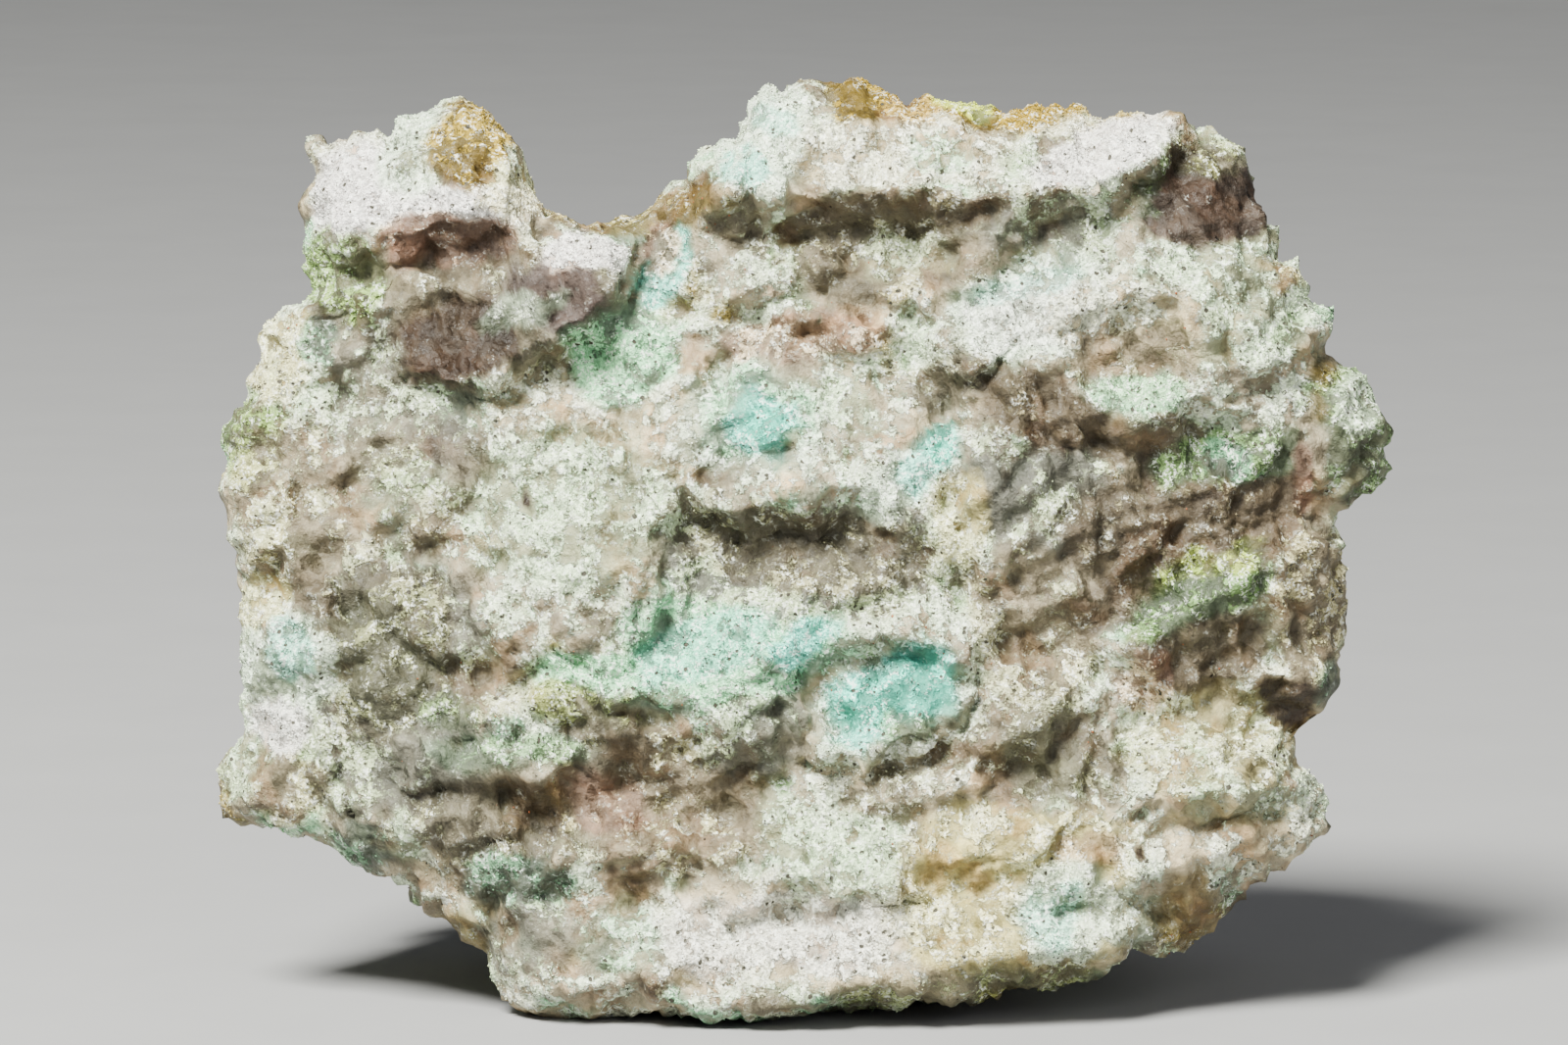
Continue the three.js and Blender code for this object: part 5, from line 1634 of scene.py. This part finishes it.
@dataclass
class GrainCloud:
    """Small crystals that stand half out of the stone, in its crust's colours or in one of their own.

    Liking is the power of the crust's cover by which they gather, and cluster is how strongly they bunch.
    """

    name: str
    count: int
    size: tuple[float, float]
    flatness: float
    liking: float
    seed: int
    own: tuple[int, int, int] | None = None
    cluster: float = 0.0
    cluster_size: float = 7.0
    cluster_seed: int = 900
    stretch: tuple[float, float] = (0.6, 1.0)
    proud: float = 0.12
    shade: tuple[float, float] = (0.55, 1.15)
    clear_of_floor: float = 1.0

    def build(self, stone: Stone) -> bpy.types.Object:
        """Scatter eight-faced crystals over the stone and join them in one mesh.

        Each is an octahedron, flattened along one axis, turned at random, and set in by about its middle.

        Args:
            stone: the finished stone.

        Returns:
            The joined piece.
        """
        rng = np.random.default_rng(self.seed)
        weight = self.weights(stone)
        numbers = stone.triangles[rng.choice(len(weight), self.count, p=weight / weight.sum())]
        share = rng.dirichlet((1.0, 1.0, 1.0), self.count)[:, :, None]
        middle = (stone.points[numbers] * share).sum(axis=1)
        out = (stone.normals[numbers] * share).sum(axis=1)
        size = self.size[0] * (self.size[1] / self.size[0]) ** rng.random(self.count)
        stretch = rng.uniform(*self.stretch, (self.count, 1, 3)) * np.array([1.0, 1.0, self.flatness])
        local = OCTAHEDRON_CORNERS[None] * stretch * (0.5 * size)[:, None, None]
        turned = np.einsum("nij,nkj->nki", self.turns(rng), local)
        points = middle[:, None] + (self.proud * size)[:, None, None] * out[:, None] + turned
        corners = len(OCTAHEDRON_CORNERS)
        faces = (corners * np.arange(self.count)[:, None, None] + OCTAHEDRON_FACES).reshape(-1, 3)
        tint = (stone.paint.crust[numbers] * share).sum(axis=1) if self.own is None else linear(self.own)
        tint = tint * rng.uniform(*self.shade, (self.count, 1))
        piece = new_piece(self.name, points.reshape(-1, 3), [faces], GrainFinish(self.name).material())
        hold_colour(piece, "tint", np.repeat(tint, corners, axis=0))
        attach(piece, BODY)
        return piece

    def weights(self, stone: Stone) -> Array:
        """Weigh each face of the stone by its area, its cover to a power, and clusters by noise."""
        corners = stone.points[stone.triangles]
        a, b, c = corners.transpose(1, 0, 2)
        area = 0.5 * np.linalg.norm(np.cross(b - a, c - a), axis=1)
        cover = np.clip(stone.paint.cover, 0.0, 1.0)[stone.triangles].mean(axis=1)
        over_floor = corners[:, :, 2].min(axis=1) > self.clear_of_floor
        noise = fractal_noise(corners.mean(axis=1), self.cluster_size, self.seed + self.cluster_seed, 3)
        clusters = np.exp(self.cluster * noise)
        return area * cover**self.liking * over_floor * clusters

    def turns(self, rng: np.random.Generator) -> Array:
        """Give a random turn for each crystal, from four random numbers of unit length."""
        q = rng.normal(size=(self.count, 4))
        w, x, y, z = (q / np.linalg.norm(q, axis=1, keepdims=True)).T
        rows = [
            [1 - 2 * (y * y + z * z), 2 * (x * y - z * w), 2 * (x * z + y * w)],
            [2 * (x * y + z * w), 1 - 2 * (x * x + z * z), 2 * (y * z - x * w)],
            [2 * (x * z - y * w), 2 * (y * z + x * w), 1 - 2 * (x * x + y * y)],
        ]
        return np.array(rows).transpose(2, 0, 1)


DARK = (42, 36, 30)
RUST = (150, 78, 34)
CLOUDS = (
    GrainCloud("quartz_sugar", 24000, (0.14, 0.36), flatness=0.8, liking=3.0, seed=11),
    GrainCloud("mica_flakes", 20000, (0.2, 0.5), flatness=0.3, liking=4.0, seed=12),
    GrainCloud("dark_specks", 3000, (0.13, 0.34), flatness=0.6, liking=0.7, seed=13, own=DARK, cluster=5.0),
    GrainCloud("rust_specks", 260, (0.15, 0.4), flatness=0.6, liking=0.0, seed=14, own=RUST, cluster=7.0),
)


# Stage


@dataclass(frozen=True)
class Lamp:
    """A square lamp that faces the stone's middle: place and size in metres, power in watts."""

    name: str
    place: Place
    size: float
    power: float
    colour: Place

    def hang(self, aim: Place) -> None:
        """Hang the lamp, turned to the aim."""
        lamp = bpy.data.lights.new(self.name, "AREA")
        lamp.size, lamp.energy, lamp.color = self.size, self.power, self.colour
        hung = bpy.data.objects.new(self.name, lamp)
        hung.location = self.place
        hung.rotation_euler = (Vector(aim) - hung.location).to_track_quat("-Z", "Y").to_euler()
        bpy.context.scene.collection.objects.link(hung)


@dataclass
class Studio:
    """Pale floor, soft lights and the camera, in metres, but in millimetres for the height aimed at."""

    floor_half: float = 4.0
    camera_distance: float = 1.1
    aim_v: float = 50.7
    lens: float = 248.6
    sensor: float = 36.0
    clip: tuple[float, float] = (0.01, 20.0)
    middle: Place = (0.0, 0.0, 0.045)
    key: Lamp = Lamp("key", (-0.4, -0.7, 1.05), 0.45, 92.0, (0.98, 0.98, 0.91))
    fill: Lamp = Lamp("fill", (0.7, -1.0, 0.6), 0.9, 6.5, (1.0, 1.0, 1.0))
    sky: Colour = (0.9, 0.93, 1.0, 1.0)
    sky_strength: float = 0.16

    def build(self) -> None:
        """Make the floor, the lights and the camera."""
        self.floor()
        self.key.hang(self.middle)
        self.fill.hang(self.middle)
        world = bpy.data.worlds.new("studio")
        world.use_nodes = True
        background = world.node_tree.nodes["Background"]
        background.inputs["Color"].default_value = self.sky
        background.inputs["Strength"].default_value = self.sky_strength
        bpy.context.scene.world = world
        self.camera()

    def floor(self) -> None:
        """Lay a pale floor at the stone's foot."""
        h = self.floor_half / MM
        points = np.array([(-h, -h, 0.0), (h, -h, 0.0), (h, h, 0.0), (-h, h, 0.0)])
        new_piece("floor", points, [np.array([(0, 1, 2, 3)])], FloorFinish().material())

    def camera(self) -> None:
        """Set the camera square to the leant face plane, so that it looks down by the lean."""
        eye = bpy.data.cameras.new("camera")
        eye.sensor_width, eye.lens = self.sensor, self.lens
        eye.clip_start, eye.clip_end = self.clip
        holder = bpy.data.objects.new("camera", eye)
        depth = -self.camera_distance / MM
        holder.location = leant(np.zeros(1), np.array([self.aim_v]), np.array([depth]))[0] * MM
        holder.rotation_euler = (math.pi / 2.0 - LEAN, 0.0, 0.0)
        bpy.context.scene.collection.objects.link(holder)
        bpy.context.scene.camera = holder


def main() -> None:
    """Build the stone, its grains and the studio."""
    logging.basicConfig(level=logging.INFO, format="%(name)s: %(message)s")
    stone = Stone()
    built = [stone.build()]
    built += [cloud.build(stone) for cloud in CLOUDS]
    for piece in built:
        LOG.info("%s: %d points, %d faces", piece.name, len(piece.data.vertices), len(piece.data.polygons))
    Studio().build()


if __name__ == "__main__":
    main()
